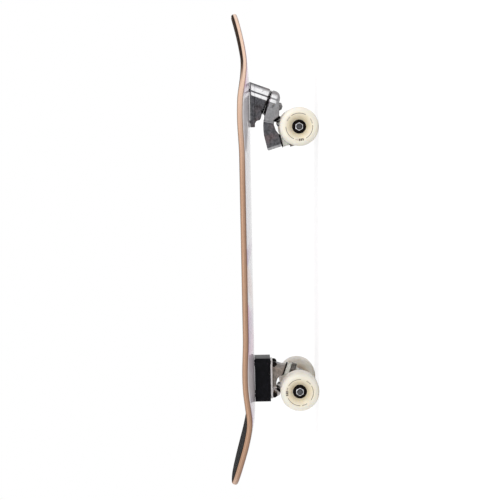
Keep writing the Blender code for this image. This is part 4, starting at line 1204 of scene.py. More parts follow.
@dataclass(frozen=True)
class Stance:
    """How the board stands: the trucks' places under the deck and the joints that hang from them.

    Each axle's pair is how far it lies towards the tail and below its truck's base.
    """

    front_mount_x: float = 0.2484
    rear_mount_x: float = -0.2238
    front_axle: Flat = (0.0366, 0.0816)
    rear_axle: Flat = (0.0092, 0.0479)
    riser_height: float = 0.027
    front_hanger_turn: float = 5.5
    swing_point: Place = (-0.0055, 0.0, -0.0302)
    swing_tilt: float = 20.5

    def deck(self, joints: dict[str, dict]) -> Matrix:
        """Return the deck's place, worked out from the wheels' joints."""
        front, rear = (Vector(joints[f"{truck}_left_spin"]["pos_m"]) for truck in ("front", "rear"))
        front_local = Vector(
            (self.front_mount_x - self.front_axle[0], 0.0, -CLEAR - self.front_axle[1]))
        rear_local = Vector((self.rear_mount_x - self.rear_axle[0], 0.0,
                             -2.0 * CLEAR - self.riser_height - self.rear_axle[1]))
        run, run_local = front - rear, front_local - rear_local
        pitch = math.atan2(run_local.z, run_local.x) - math.atan2(run.z, run.x)
        turn = Matrix.Rotation(pitch, 4, "Y")
        offset = front - turn @ front_local
        return shift(offset.x, 0.0, offset.z) @ turn

    def base(self, deck: Matrix, mount_x: float) -> Matrix:
        """Return the place of a truck's base under the deck, its +X towards the tail."""
        return deck @ shift(mount_x, 0.0, -CLEAR) @ about("Z", 180.0)

    def front_base(self, deck: Matrix) -> Matrix:
        """Return the front truck's base."""
        return self.base(deck, self.front_mount_x)

    def swing(self, deck: Matrix) -> Matrix:
        """Return the swing joint, its +Z along the axis towards the deck."""
        return self.front_base(deck) @ shift(*self.swing_point) @ about("Y", -self.swing_tilt)

    def front_hanger(self, deck: Matrix) -> Matrix:
        """Return the front hanger's place."""
        back, down = self.front_axle
        return (self.front_base(deck) @ shift(back, 0.0, -down) @ about("Z", 180.0)
                @ about("Y", self.front_hanger_turn))

    def rear_plate(self, deck: Matrix) -> Matrix:
        """Return the rear base plate's place, under the riser."""
        return self.base(deck, self.rear_mount_x) @ shift(0.0, 0.0, -self.riser_height - CLEAR)

    def rear_hanger(self, deck: Matrix) -> Matrix:
        """Return the rear hanger's place."""
        back, down = self.rear_axle
        return self.rear_plate(deck) @ shift(back, 0.0, -down)


# The deck


class DeckEnd(NamedTuple):
    """One end of the deck: its kick, the rounding of its outline and where the concave fades."""

    label: str
    sign: int
    kick_length: float
    kick_radius: float
    kick_angle: float
    round_length: float
    round_power: float
    fade_start: float
    fade_end: float

    @property
    def sizes(self) -> dict[str, float]:
        """Return the end's named inputs."""
        return {f"{self.label} {name.replace('_', ' ')}": value
                for name, value in self._asdict().items() if isinstance(value, float)}


@dataclass
class Deck:
    """The pressed deck, its grip tape and its eight deck bolts."""

    place: Matrix
    mounts: Flat
    length: float = 0.813
    thickness: float = 0.010
    half_width: float = 0.125
    taper: float = 0.015
    taper_length: float = 0.350
    widest_at: float = 0.060
    ends: tuple[DeckEnd, DeckEnd] = (
        DeckEnd("Nose", 1, 0.131, 0.445, math.radians(16.5), 0.150, 2.8, 0.2575, 0.332),
        DeckEnd("Tail", -1, 0.1362, 0.1145, math.radians(16.2), 0.120, 3.0, 0.2275, 0.337))
    concave: float = 0.0088
    concave_power: float = 1.7
    flare: float = 0.0026
    flare_reach: float = 0.068
    flare_offset: float = 0.018
    flat_half_width: float = 0.031
    edge_radius: float = 0.0035
    edge_steps: int = 12
    columns: int = 41
    crowding: float = 0.8
    stations: int = 220
    grip_lift: float = 0.00005
    grip_inset: float = 0.0046
    grip_thickness: float = 0.0006
    grip_edge: float = 0.0004
    grip_hole: float = 0.0054
    bolt_spacing: Flat = (0.0540, 0.0413)
    bolt_radius: float = 0.0024
    bolt_lengths: Flat = (0.0171, 0.0487)
    bolt_thread: Thread = Thread(0.0008, 0.0003)
    bolt_thread_length: float = 0.012
    head_depth: float = 0.0030
    head_rim: float = 0.0004
    recess_half_width: float = 0.0005
    recess: Outline = ((0.0028, 0.001), (0.0026, -0.0001), (0.0008, -0.0019))

    def section(self, low: float, high: float, inset: float, edge: float) -> list[Place]:
        """Return a sheet's section.

        Args:
            low: the lower face's height over the deck's underside.
            high: the upper face's height.
            inset: how far the edge stays inside the deck's outline.
            edge: the rounding of the edge.

        Returns:
            Points once round, each (share of the half width, height, distance inside the outline).
        """
        def bowed(value: float) -> float:
            """Return a value from -1 to 1 pushed outwards."""
            return math.copysign(abs(value) ** self.crowding, value)

        shares = [bowed(-1.0 + 2.0 * step / (self.columns - 1)) for step in range(self.columns)]
        bottom = [(share, low, inset + edge) for share in shares]
        top = [(share, high, inset + edge) for share in reversed(shares)]
        middle, half = (low + high) / 2.0, (high - low) / 2.0
        right, left = [], []
        for step in range(1, self.edge_steps):
            angle = math.pi * step / self.edge_steps
            depth = inset + edge * (1.0 - math.sin(angle))
            level = middle - bowed(math.cos(angle)) * half
            right.append((1.0, level, depth))
            left.append((-1.0, 2.0 * middle - level, depth))
        return bottom + right + top + left

    def tree(self) -> Tree:
        """Return the tree that shapes a sheet to the deck: outline, kicks, concave and flares."""
        labels = ("Stations", "Length", "Thickness", "Half width", "Flat half width", "Taper",
                  "Taper length", "Widest at", "Concave", "Concave power", "Flare", "Flare reach")
        sizes = {label: getattr(self, label.lower().replace(" ", "_")) for label in labels}
        sizes["Front flare at"] = self.mounts[0] - self.flare_offset
        sizes["Rear flare at"] = self.mounts[1] + self.flare_offset
        for end in self.ends:
            sizes |= end.sizes
        tree = Tree("pressed_sheet", sizes)
        count = tree.given_count()
        grid, row, place_in_row = tree.grid(tree["Stations"] + 1.0, count + 1.0)
        share, height, inset = tree.given_point(tree.math("MODULO", place_in_row, count))
        at, half = self.rim(tree, row / tree["Stations"] * math.pi, inset)

        rise, slope = self.kick(tree, at)
        y = half * share
        flat = tree["Flat half width"]
        room = tree.math("MAXIMUM", half + inset - flat, 0.01)
        out = tree.math("MAXIMUM", tree.math("ABSOLUTE", y) - flat, 0.0) / room
        level = rise + self.dish(tree, at) * out ** tree["Concave power"]
        spot = tree.vector(
            at - height * tree.math("SINE", slope), y, level + height * tree.math("COSINE", slope))
        through = tree.keeping(tree.placed(grid, spot), "through", height / tree["Thickness"])
        rim = 1.0 - tree.clamp(inset / self.edge_radius)
        tree.close(tree.welded(tree.keeping(through, "rim", rim)))
        return tree

    def rim(self, tree: Tree, turn: Field, inset: Field) -> tuple[Field, Field]:
        """Return the x and the half width of a line that runs inside the outline.

        Args:
            tree: the tree to build in.
            turn: the turn round the outline, from 0 at the nose to pi at the tail.
            inset: how far inside the outline the line runs.

        Returns:
            The line's x and half width at that turn.
        """
        nudge = 0.002
        x, width = self.outline(tree, turn)
        x_before, width_before = self.outline(tree, tree.clamp(turn - nudge, 0.0, math.pi))
        x_after, width_after = self.outline(tree, tree.clamp(turn + nudge, 0.0, math.pi))
        run_x, run_w = x_after - x_before, width_after - width_before
        span = tree.math("MAXIMUM", tree.math("SQRT", run_x * run_x + run_w * run_w), 1e-9)
        half = tree.math("MAXIMUM", width + run_x / span * inset, 0.0)
        end = tree["Length"] / 2.0 - inset
        return tree.clamp(x - run_w / span * inset, 0.0 - end, end), half

    def outline(self, tree: Tree, turn: Field) -> tuple[Field, Field]:
        """Return the deck's x and half width at a turn from 0, the nose, to pi, the tail."""
        half = tree["Length"] / 2.0
        x = half * tree.math("COSINE", turn)
        bend = (x - tree["Widest at"]) / tree["Taper length"]
        width = tree["Half width"] - tree["Taper"] * bend * bend
        for end in self.ends:
            length = tree[f"{end.label} round length"]
            power = tree[f"{end.label} round power"]
            share = tree.math("MAXIMUM", x * end.sign - (half - length), 0.0) / length
            left = tree.math("MAXIMUM", 1.0 - share ** power, 0.0)
            width = width * left ** (1.0 / power)
        return x, width

    def kick(self, tree: Tree, x: Field) -> tuple[Field, Field]:
        """Return the rise and the slope of the deck's middle line at x."""
        half = tree["Length"] / 2.0
        rise: Operand = 0.0
        slope: Operand = 0.0
        for end in self.ends:
            radius = tree[f"{end.label} kick radius"]
            start = half - tree[f"{end.label} kick length"]
            run = tree.math("MAXIMUM", x * end.sign - start, 0.0)
            longest = radius * tree.math("SINE", tree[f"{end.label} kick angle"])
            bend = tree.math("MINIMUM", run, longest)
            angle = tree.math("ARCSINE", bend / radius)
            straight = (run - bend) * tree.math("TANGENT", angle)
            rise = radius * (1.0 - tree.math("COSINE", angle)) + straight + rise
            slope = angle * end.sign + slope
        return rise, slope

    def dish(self, tree: Tree, x: Field) -> Field:
        """Return how far the rails stand above the middle at x."""
        flares: Operand = 0.0
        for truck in ("Front", "Rear"):
            away = tree.math("ABSOLUTE", x - tree[f"{truck} flare at"])
            near = tree.clamp(away / tree["Flare reach"]) * math.pi
            flares = tree.math("COSINE", near) * 0.5 + 0.5 + flares
        depth = tree["Concave"] + tree["Flare"] * flares
        for end in self.ends:
            fade = tree.ease(
                x * end.sign, tree[f"{end.label} fade start"], tree[f"{end.label} fade end"])
            depth = depth * (1.0 - fade)
        return depth

    def sheet(self, tree: Tree, section: Sequence[Place], finish: Finish) -> Mesh:
        """Return a section swept along the deck, closed at both tips and facing outwards.

        Args:
            tree: the tree that shapes sheets.
            section: the sheet's section.
            finish: the sheet's finish.

        Returns:
            The closed mesh.
        """
        made = tree.run(section, finish, {"Stations": self.stations})
        bm = bmesh.new()
        bm.from_mesh(made)
        bmesh.ops.remove_doubles(bm, verts=bm.verts, dist=2e-6)
        bmesh.ops.dissolve_degenerate(bm, edges=bm.edges, dist=1e-6)
        return mesh_of(bm, made)

    def bolt_seats(self, mount_x: float) -> list[Place]:
        """Return the four bolt places of one truck."""
        long, wide = self.bolt_spacing[0] / 2.0, self.bolt_spacing[1] / 2.0
        return [(mount_x + end * long, side * wide, self.thickness + CLEAR)
                for end in (1, -1) for side in (-1, 1)]

    def bolt(self, length: float) -> Mesh:
        """Return a countersunk bolt with a cross recess and a threaded end, its top at z = 0."""
        shank, head, threaded = self.bolt_radius, 2.0 * self.bolt_radius, self.bolt_thread_length
        section = [(0.0, -length), *self.bolt_thread.section(shank, -length, threaded - length),
                   *rounded([(shank, threaded + 0.001 - length), (shank, -self.head_depth),
                             (head, -self.head_rim), (head, 0.0), (0.0, 0.0)], 0.0003, False)]
        blade = [(-x, z) for x, z in self.recess] + list(reversed(self.recess))
        blades = [moved(side_slab(blade, self.recess_half_width), about("Z", degrees))
                  for degrees in (0.0, 90.0)]
        return cut(turned(section, 32), *blades)

    def build(self) -> None:
        """Build and dress the deck, the grip tape and the bolts."""
        tree = self.tree()
        wood = self.section(0.0, self.thickness, 0.0, self.edge_radius)
        stand("pressed_deck", self.sheet(tree, wood, Finish.DECK), self.place, Finish.DECK, "board",
              ["deck"], sharp=60.0)

        under = self.thickness + self.grip_lift
        tape = self.section(under, under + self.grip_thickness, self.grip_inset, self.grip_edge)
        punches = [moved(rod(self.grip_hole, -0.004, 0.004, 28), shift(*seat))
                   for mount in self.mounts for seat in self.bolt_seats(mount)]
        stand("grip_sheet", cut(self.sheet(tree, tape, Finish.GRIP), *punches), self.place,
              Finish.GRIP, "board", ["grip_tape"])

        fronts = [f"front_bolt_{number}" for number in range(1, 5)]
        for truck, mount, length, stands_for in zip(
                ("front", "rear"), self.mounts, self.bolt_lengths, (fronts, ())):
            bolts = repeated(self.bolt(length), self.bolt_seats(mount), Finish.BLACK_STEEL, 5)
            stand(f"{truck}_deck_bolts", bolts, self.place, Finish.BLACK_STEEL, "board", stands_for)


# Trucks


def lock_nut(flats: float, bore: float, height: float, collar: float = 0.3) -> Mesh:
    """Return a hexagonal lock nut from z = 0 up, its corners chamfered and its collar at the top.

    Args:
        flats: the width across its flats.
        bore: the radius of its hole.
        height: its whole height.
        collar: the share of its height that the round collar takes.

    Returns:
        The mesh.
    """
    corner, rim = flats / math.sqrt(3.0), flats / 2.0 * 1.02
    body_top, outside = height * (1.0 - collar), corner * 1.02
    slope = (corner - rim) * 0.55
    envelope = turned([(0.0, -0.001), (rim - 0.001, -0.001), (rim, 0.0), (outside, slope),
                       (outside, body_top - slope), (rim, body_top), (0.0, body_top)], 96)
    body = combined(slab(circle(corner, 6), 0.0, body_top), "INTERSECT", [envelope])
    crown, sunk = flats / 2.0 * 0.86, height - 0.0008
    collar_part = turned(rounded([(0.0, body_top * 0.5), (crown, body_top * 0.5), (crown, height),
                                  (bore + 0.0009, height), (bore + 0.0004, sunk), (0.0, sunk)],
                                 0.0005, False), 72)
    return cut(combined(body, "UNION", [collar_part]), rod(bore, -BEYOND, BEYOND, 40))


@dataclass
class AxleSet:
    """A hanger with its axle, kingpin stack, pivot cup and two wheels."""

    truck: str
    hanger: Matrix
    carrier: str
    bushing_height: float
    grip: float
    headed: bool
    half_width: float = 0.075
    end_radius: float = 0.007
    middle_radius: float = 0.011
    web_half_width: float = 0.009
    ring_centre: Place = (-0.0207, 0.0, 0.0105)
    pivot: Place = (0.0128, 0.0, 0.0382)
    kingpin_tilt: float = 19.5
    ring_radius: float = 0.0145
    ring_hole: float = 0.0080
    ring_thickness: float = 0.0082
    nose_length: float = 0.011
    nose_root: float = 0.0065
    nose_tip: float = 0.0042
    rib_start: Place = (-0.004, 0.052, 0.002)
    rib_stop: Place = (0.010, 0.008, -0.001)
    rib_radii: Flat = (0.0036, 0.0046)
    lean_room: float = 0.045
    lean_stretch: float = 1.35
    axle_radius: float = 0.004
    axle_overhang: float = 0.0337
    axle_thread: Thread = Thread(0.00125, 0.0005)
    axle_thread_length: float = 0.0105
    kingpin_radius: float = 0.00475
    kingpin_thread: Thread = Thread(0.0011, 0.00045, 0.0008)
    kingpin_head: Flat = (0.0075, 0.006)
    board_washer: float = 0.0122
    road_washer: float = 0.009
    washer_thickness: float = 0.0018
    board_bushing: float = 0.0115
    road_bushing: float = 0.0098
    road_bushing_taper: float = 0.0015
    road_bushing_height: float = 0.0055
    bushing_band: float = 0.0016
    bushing_waist: float = 0.0004
    bushing_flare: float = 0.0014
    nut_flats: float = 0.014
    nut_height: float = 0.0065
    cup_wall: float = 0.0018
    cup_end: float = 0.0012
    cup_flange: float = 0.0011
    cup_mouth: float = -0.0060

    @property
    def ring(self) -> Matrix:
        """Return the ring's place in the hanger, its +Z along the kingpin towards the deck."""
        return shift(*self.ring_centre) @ about("Y", -self.kingpin_tilt)

    @property
    def lean(self) -> Vector:
        """Return the lean axis's direction in the hanger, from the ring to the pivot."""
        return (Vector(self.pivot) - Vector(self.ring_centre)).normalized()

    @property
    def seat(self) -> float:
        """Return the distance from the ring's middle to the face that the stack seats on."""
        return self.ring_thickness / 2.0 + self.bushing_height + self.washer_thickness + 3.0 * CLEAR

    @property
    def road_stack(self) -> float:
        """Return the distance from the ring's middle to the kingpin nut's face."""
        return (self.ring_thickness / 2.0 + self.road_bushing_height + self.washer_thickness
                + 3.0 * CLEAR)

    @property
    def cup(self) -> Matrix:
        """Return the pivot cup's place in the hanger."""
        return shift(*self.pivot) @ along(self.lean)

    @property
    def kingpin_hole(self) -> float:
        """Return the radius of a hole that takes the kingpin."""
        return self.kingpin_radius + CLEAR

    def cup_room(self) -> Mesh:
        """Return the cutter that makes room for the pivot cup, about Z."""
        return rod(self.nose_tip + self.cup_wall + 2.0 * CLEAR, -BEYOND / 3.0,
                   self.nose_tip + self.cup_end + 2.0 * CLEAR)

    def hanger_shape(self) -> Mesh:
        """Return the hanger: tapered axle barrel, bushing ring, pivot nose and the web between."""
        half, thick = self.half_width, self.ring_thickness / 2.0
        barrel = [(0.0, -half), (self.end_radius, -half), (self.end_radius + 0.0015, -0.55 * half),
                  (self.middle_radius, -0.18 * half)]
        barrel += [(radius, -height) for radius, height in reversed(barrel)]
        tube = moved(turned(barrel, 48), about("X", 90.0))
        ring = moved(rod(self.ring_radius, -thick, thick), self.ring)
        into = self.ring.inverted()
        lean = into.to_3x3() @ self.lean
        root = into @ Vector(self.pivot) - lean * self.nose_length
        web = moved(side_slab(self.web_outline(root, lean), self.web_half_width), self.ring)
        spike = moved(self.nose_shape(), shift(*(self.ring @ root)) @ along(self.lean))
        body = cast([tube, ring, web, spike, *self.ribs()], 0.00062, 5)
        bore = moved(rod(self.axle_radius + CLEAR, -BEYOND, BEYOND), about("X", 90.0))
        way = moved(rod(self.ring_hole, -self.ring_thickness, self.ring_thickness), self.ring)
        room = moved(rod(self.road_bushing + 2.0 * CLEAR, -self.lean_room, -thick - CLEAR),
                     Matrix.Scale(self.lean_stretch, 4, (0, 1, 0)))
        return with_painted_highlight(cut(body, bore, way, moved(room, self.ring)), self.hanger_polish)

    def web_outline(self, root: Vector, lean: Vector) -> Section:
        """Return the web's side outline in the ring's frame.

        Args:
            root: the foot of the pivot nose.
            lean: the lean axis's direction.

        Returns:
            The outline's points.
        """
        axle = self.ring.inverted() @ Vector((0.0, 0.0, 0.0))
        across = Vector((-lean.z, 0.0, lean.x)) * self.nose_root
        end = root + lean * 0.002
        face = self.ring_thickness / 2.0 - 2.0 * CLEAR
        inner = self.ring_radius - 0.004
        return [(inner, face), (self.ring_radius, face), (self.ring_radius + 0.004, 0.0),
                tuple((root - lean * 0.006 + across * 0.2).xz), tuple((root + across * 0.95).xz),
                tuple((end + across * 0.9).xz), tuple((end - across * 0.9).xz),
                (axle.x + self.middle_radius * 0.93, axle.z + 0.003), (axle.x, axle.z - 0.004),
                (inner, axle.z + 0.006), (inner, -face)]

    def nose_shape(self) -> Mesh:
        """Return the pivot nose about Z, its round tip up."""
        tip, foot = self.nose_tip, -0.004
        nose = [(0.0, foot), (self.nose_root, foot), (self.nose_root, 0.0),
                (tip, self.nose_length * 0.35), (tip, self.nose_length)]
        nose += [(tip * math.cos(angle), self.nose_length + tip * math.sin(angle))
                 for angle in quarter(8)[1:-1]]
        return turned([*nose, (0.0, self.nose_length + tip)], 40)

    def ribs(self) -> list[Mesh]:
        """Return the two slim round ribs that brace the axle barrel to the ring."""
        made = []
        for side in (-1.0, 1.0):
            mirror = Vector((1.0, side, 1.0))
            start = Vector(self.rib_start) * mirror
            run = self.ring @ (Vector(self.rib_stop) * mirror) - start
            first, last = self.rib_radii
            section = [(0.0, 0.0), (first, 0.0), (last, run.length), (0.0, run.length)]
            turn = run.to_track_quat("Z", "Y").to_matrix().to_4x4()
            made.append(moved(turned(section, 24), shift(*start) @ turn))
        return made

    def hanger_polish(self, point: Vector) -> float:
        """Return the hanger's share of painted highlight at a point: a painted highlight on the
        ring's rim, less at its edges.
        """
        in_ring = self.ring.inverted() @ point
        edge = ramp_up(math.hypot(in_ring.x, in_ring.y), 0.0165, self.ring_radius)
        return 0.26 - 0.30 * edge * (1.0 - ramp_up(abs(in_ring.z), 0.0045, 0.0060))

    def bushing_section(
            self, top: float, bottom: float, height: float, pressed_top: bool) -> Section:
        """Return the section of a soft barrel-shaped bushing from z = 0 up.

        Args:
            top: the radius at the top.
            bottom: the radius at z = 0.
            height: its height.
            pressed_top: whether the hanger presses on its top rather than on its foot; the bore
                flares at that end, to clear the kingpin in a lean.

        Returns:
            The section's points.
        """
        wide = self.kingpin_hole + self.bushing_flare
        low_way, high_way = (self.kingpin_hole, wide) if pressed_top else (wide, self.kingpin_hole)
        waist = (top + bottom) / 2.0 - self.bushing_waist
        return rounded([(low_way, 0.0), (bottom, 0.0), (bottom, self.bushing_band),
                        (waist, height * 0.35), (waist, height * 0.65),
                        (top, height - self.bushing_band), (top, height), (high_way, height)],
                       0.0012, steps=5)

    def washer_section(self, radius: float) -> Section:
        """Return the section of a washer with a rolled rim, from z = 0 up."""
        hole, thick = self.kingpin_hole, self.washer_thickness
        return rounded([(hole, 0.0), (radius, 0.0), (radius, thick), (hole, thick)], 0.0007)

    def kingpin_section(self) -> Section:
        """Return the kingpin in the ring's frame, threaded below, headed where the truck's is."""
        low = -(self.road_stack + self.nut_height + CLEAR + 0.0015)
        top, radius = self.seat + self.grip, self.kingpin_radius
        section = [(0.0, low), *self.kingpin_thread.section(radius, low, 0.001 - self.road_stack),
                   (radius, top)]
        if self.headed:
            rim, height = self.kingpin_head
            section += [(rim, top), (rim, top + height)]
            top += height
        return [*section, (0.0, top)]

    def cup_section(self) -> Section:
        """Return the pivot cup's section, its closed end at the top and a rolled mouth below."""
        inside, mouth = self.nose_tip + CLEAR, self.cup_mouth
        outside, top = inside + self.cup_wall, inside + self.cup_end
        flange = outside + self.cup_flange
        shell = [(0.0, top), (outside, top), (outside, -0.0018), (flange, -0.0024),
                 (flange, -0.0040), (outside, -0.0046), (outside, mouth), (inside, mouth)]
        bowl = [(inside * math.cos(angle), inside * math.sin(angle)) for angle in quarter(6)[:-1]]
        return rounded(shell, 0.0004, False, 3) + bowl + [(0.0, inside)]

    def axle_section(self) -> Section:
        """Return the axle's section, threaded at both ends."""
        reach, threaded = self.half_width + self.axle_overhang, self.axle_thread_length
        half = [
            (0.0, -reach), *self.axle_thread.section(self.axle_radius, -reach, threaded - reach),
            (self.axle_radius, threaded + 0.0005 - reach)]
        return half + [(radius, -height) for radius, height in reversed(half)]

    def build(self, wheels: dict[float, Wheel]) -> None:
        """Build and dress everything on the hanger and its stack."""
        truck, carrier, body = self.truck, self.carrier, f"{self.truck}_axle_set"
        stand(f"{truck}_cast_hanger", self.hanger_shape(), self.hanger, Finish.HANGER, body,
              [f"{truck}_hanger"], sharp=50.0)
        ring = self.hanger @ self.ring
        low = self.ring_thickness / 2.0 + CLEAR
        top, foot = low + self.bushing_height, -low - self.road_bushing_height

        def at(height: float) -> Matrix:
            """Return a place along the kingpin."""
            return ring @ shift(0.0, 0.0, height)

        board = self.bushing_section(
            self.board_bushing, self.board_bushing, self.bushing_height, False)
        road = self.bushing_section(
            self.road_bushing, self.road_bushing - self.road_bushing_taper,
            self.road_bushing_height, True)
        for side, gel, place, seat, face in (
                ("board", board, low, top, low), ("road", road, foot, foot, -low)):
            stand(f"{truck}_{side}_gel", Turned(gel, 64), at(place), Finish.BUSHING, carrier,
                  [f"{truck}_{side}_bushing"],
                  pressed=Pressed(body, at(seat).translation, at(face).translation))
        washers = [Turned(self.washer_section(radius), 64)
                   for radius in (self.board_washer, self.road_washer)]
        nut = lock_nut(self.nut_flats, self.kingpin_hole, self.nut_height)
        under = at(-self.road_stack) @ about("X", 180.0)
        for name, solid, shape, place, finish, rider in (
                ("board_cup_washer", "board_washer", washers[0], at(top + CLEAR),
                 Finish.BLACK_STEEL, carrier),
                ("road_cup_washer", "road_washer", washers[1], at(CLEAR - self.road_stack),
                 Finish.STEEL, carrier),
                ("kingpin_turned", "kingpin", Turned(self.kingpin_section(), 40), ring,
                 Finish.STEEL, carrier),
                ("kingpin_lock_nut", "kingpin_nut", nut, under, Finish.STEEL, carrier),
                ("pivot_cup_moulded", "pivot_cup", Turned(self.cup_section(), 48),
                 self.hanger @ self.cup, Finish.PLASTIC, carrier),
                ("axle_rod", "axle", Turned(self.axle_section(), 40),
                 self.hanger @ about("X", 90.0), Finish.AXLE_STEEL, body)):
            stand(f"{truck}_{name}", shape, place, finish, rider, [f"{truck}_{solid}"])
        for side, wheel in wheels.items():
            wheel.build(self, side)


@dataclass
class Wheel:
    """A urethane wheel with its black core ring, bearings and axle nut."""

    label: str
    mark_turn: float
    radius: float = 0.0325
    width: float = 0.051
    lip: float = 0.0085
    recess: float = 0.0125
    face_run: Flat = (0.005, 0.0015)
    seat_step: float = 0.0006
    hub: float = 0.0126
    hub_slope: Flat = (0.001, 0.003)
    hole: float = 0.0043
    bearing_radius: float = 0.011
    bearing_width: float = 0.007
    bearing_shoulder: float = 0.0018
    outer_race: Outline = (
        (0.0, 0.0), (0.0013, 0.0), (0.0014, 0.0006), (0.0026, 0.0004), (0.0030, 0.0007))
    inner_race: Outline = ((0.0024, 0.0006), (0.0022, 0.0), (0.0, 0.0))
    spacer: float = 0.010
    nut_flats: float = 0.012
    nut_height: float = 0.0065

    @property
    def pack(self) -> float:
        """Return the length of two bearings and the spacer between them."""
        return 2.0 * self.bearing_width + self.spacer + 2.0 * CLEAR

    @property
    def seat(self) -> float:
        """Return the radius of the hole that a bearing sits in."""
        return self.bearing_radius + CLEAR

    def tyre_section(self) -> Section:
        """Return the wheel's section, outer side at +Z."""
        half, lip, seat = self.width / 2.0, self.lip, self.seat
        edge = self.radius - lip
        outer_seat = half - self.recess
        inner_seat = outer_seat - self.pack
        run, drop = self.face_run
        slope, climb = self.hub_slope
        face = [
            (seat, outer_seat + self.seat_step), (self.hub - slope, outer_seat + self.seat_step),
            (self.hub + slope, outer_seat + climb), (edge - run, half - drop)]
        outer_lip = [(edge + lip * math.cos(angle), half - lip + lip * math.sin(angle))
                     for angle in reversed(quarter(14))]
        inner_lip = [(edge + lip * math.cos(angle), -half + lip - lip * math.sin(angle))
                     for angle in quarter(10)]
        back = [(edge - run, drop - half), (self.hub + slope, inner_seat - climb),
                (seat, inner_seat - self.seat_step)]
        shoulder = self.bearing_radius - self.bearing_shoulder
        step_out = outer_seat - self.bearing_width - CLEAR
        step_in = inner_seat + self.bearing_width + CLEAR
        way = [(seat, step_in), (shoulder, step_in), (shoulder, step_out), (seat, step_out)]
        return rounded(face, 0.002, False, 5) + outer_lip + inner_lip + back + way

    def core_section(self) -> Section:
        """Return the section of the black core that shows round the outer bearing."""
        top, rim = self.width / 2.0 - self.recess + 0.0013, self.hub - 0.0014
        return rounded([(self.seat, top - 0.004), (rim, top - 0.004),
                        (self.hub - 0.0008, top - 0.0006), (rim, top), (self.seat, top)],
                       0.0003, steps=3)

    def bearing_section(self) -> Section:
        """Return the section of a shielded bearing from z = 0, its shield at the top."""
        hole, rim, wide = self.hole, self.bearing_radius, self.bearing_width
        shield = [(rim - inwards, wide - down) for inwards, down in self.outer_race]
        shield += [(hole + outwards, wide - down) for outwards, down in self.inner_race]
        return rounded([(hole, 0.0), (rim, 0.0), *shield], 0.00025, steps=3)

    def insert_section(self) -> Section:
        """Return the section of the nut's plastic insert."""
        low, high = self.nut_height - 0.0016, self.nut_height - 0.0002
        return rounded([(0.0041, low), (0.0047, low), (0.0046, high), (0.0041, high - 0.0001)],
                       0.0002, steps=3)

    def build(self, axle_set: AxleSet, side: float) -> None:
        """Build and dress one wheel.

        Args:
            axle_set: the hanger that carries it.
            side: +1 for the board's left, -1 for its right.
        """
        label, body, rider = self.label, f"{self.label}_wheel_set", f"{axle_set.truck}_axle_set"
        hub = shift(*axle_set.hanger.translation) @ about("X", -side * 90.0)
        inner_seat = axle_set.half_width + CLEAR
        outer_seat = inner_seat + self.pack

        def at(distance: float) -> Matrix:
            """Return a place along the axle."""
            return hub @ shift(0.0, 0.0, distance)

        middle = at(outer_seat + self.recess - self.width / 2.0)
        stand(
            f"{label}_tyre", Turned(self.tyre_section(), 144), middle @ about("Z", self.mark_turn),
            Finish.WHEEL, body, [f"{label}_wheel"], sharp=50.0)
        stand(f"{label}_core", Turned(self.core_section(), 96), middle, Finish.PLASTIC, body)
        for end, place in (("outer", at(outer_seat - self.bearing_width)),
                           ("inner", at(inner_seat + self.bearing_width) @ about("X", 180.0))):
            stand(f"{label}_{end}_race", Turned(self.bearing_section(), 72), place,
                  Finish.BLACK_STEEL, body, [f"{label}_{end}_bearing"])
        nut = lock_nut(self.nut_flats, self.hole, self.nut_height, 0.22)
        stand(f"{label}_hub_nut", nut, at(outer_seat + CLEAR), Finish.BRIGHT, rider,
              [f"{label}_axle_nut"])
        stand(f"{label}_nut_insert", Turned(self.insert_section(), 48), at(outer_seat + CLEAR),
              Finish.PLASTIC, rider)


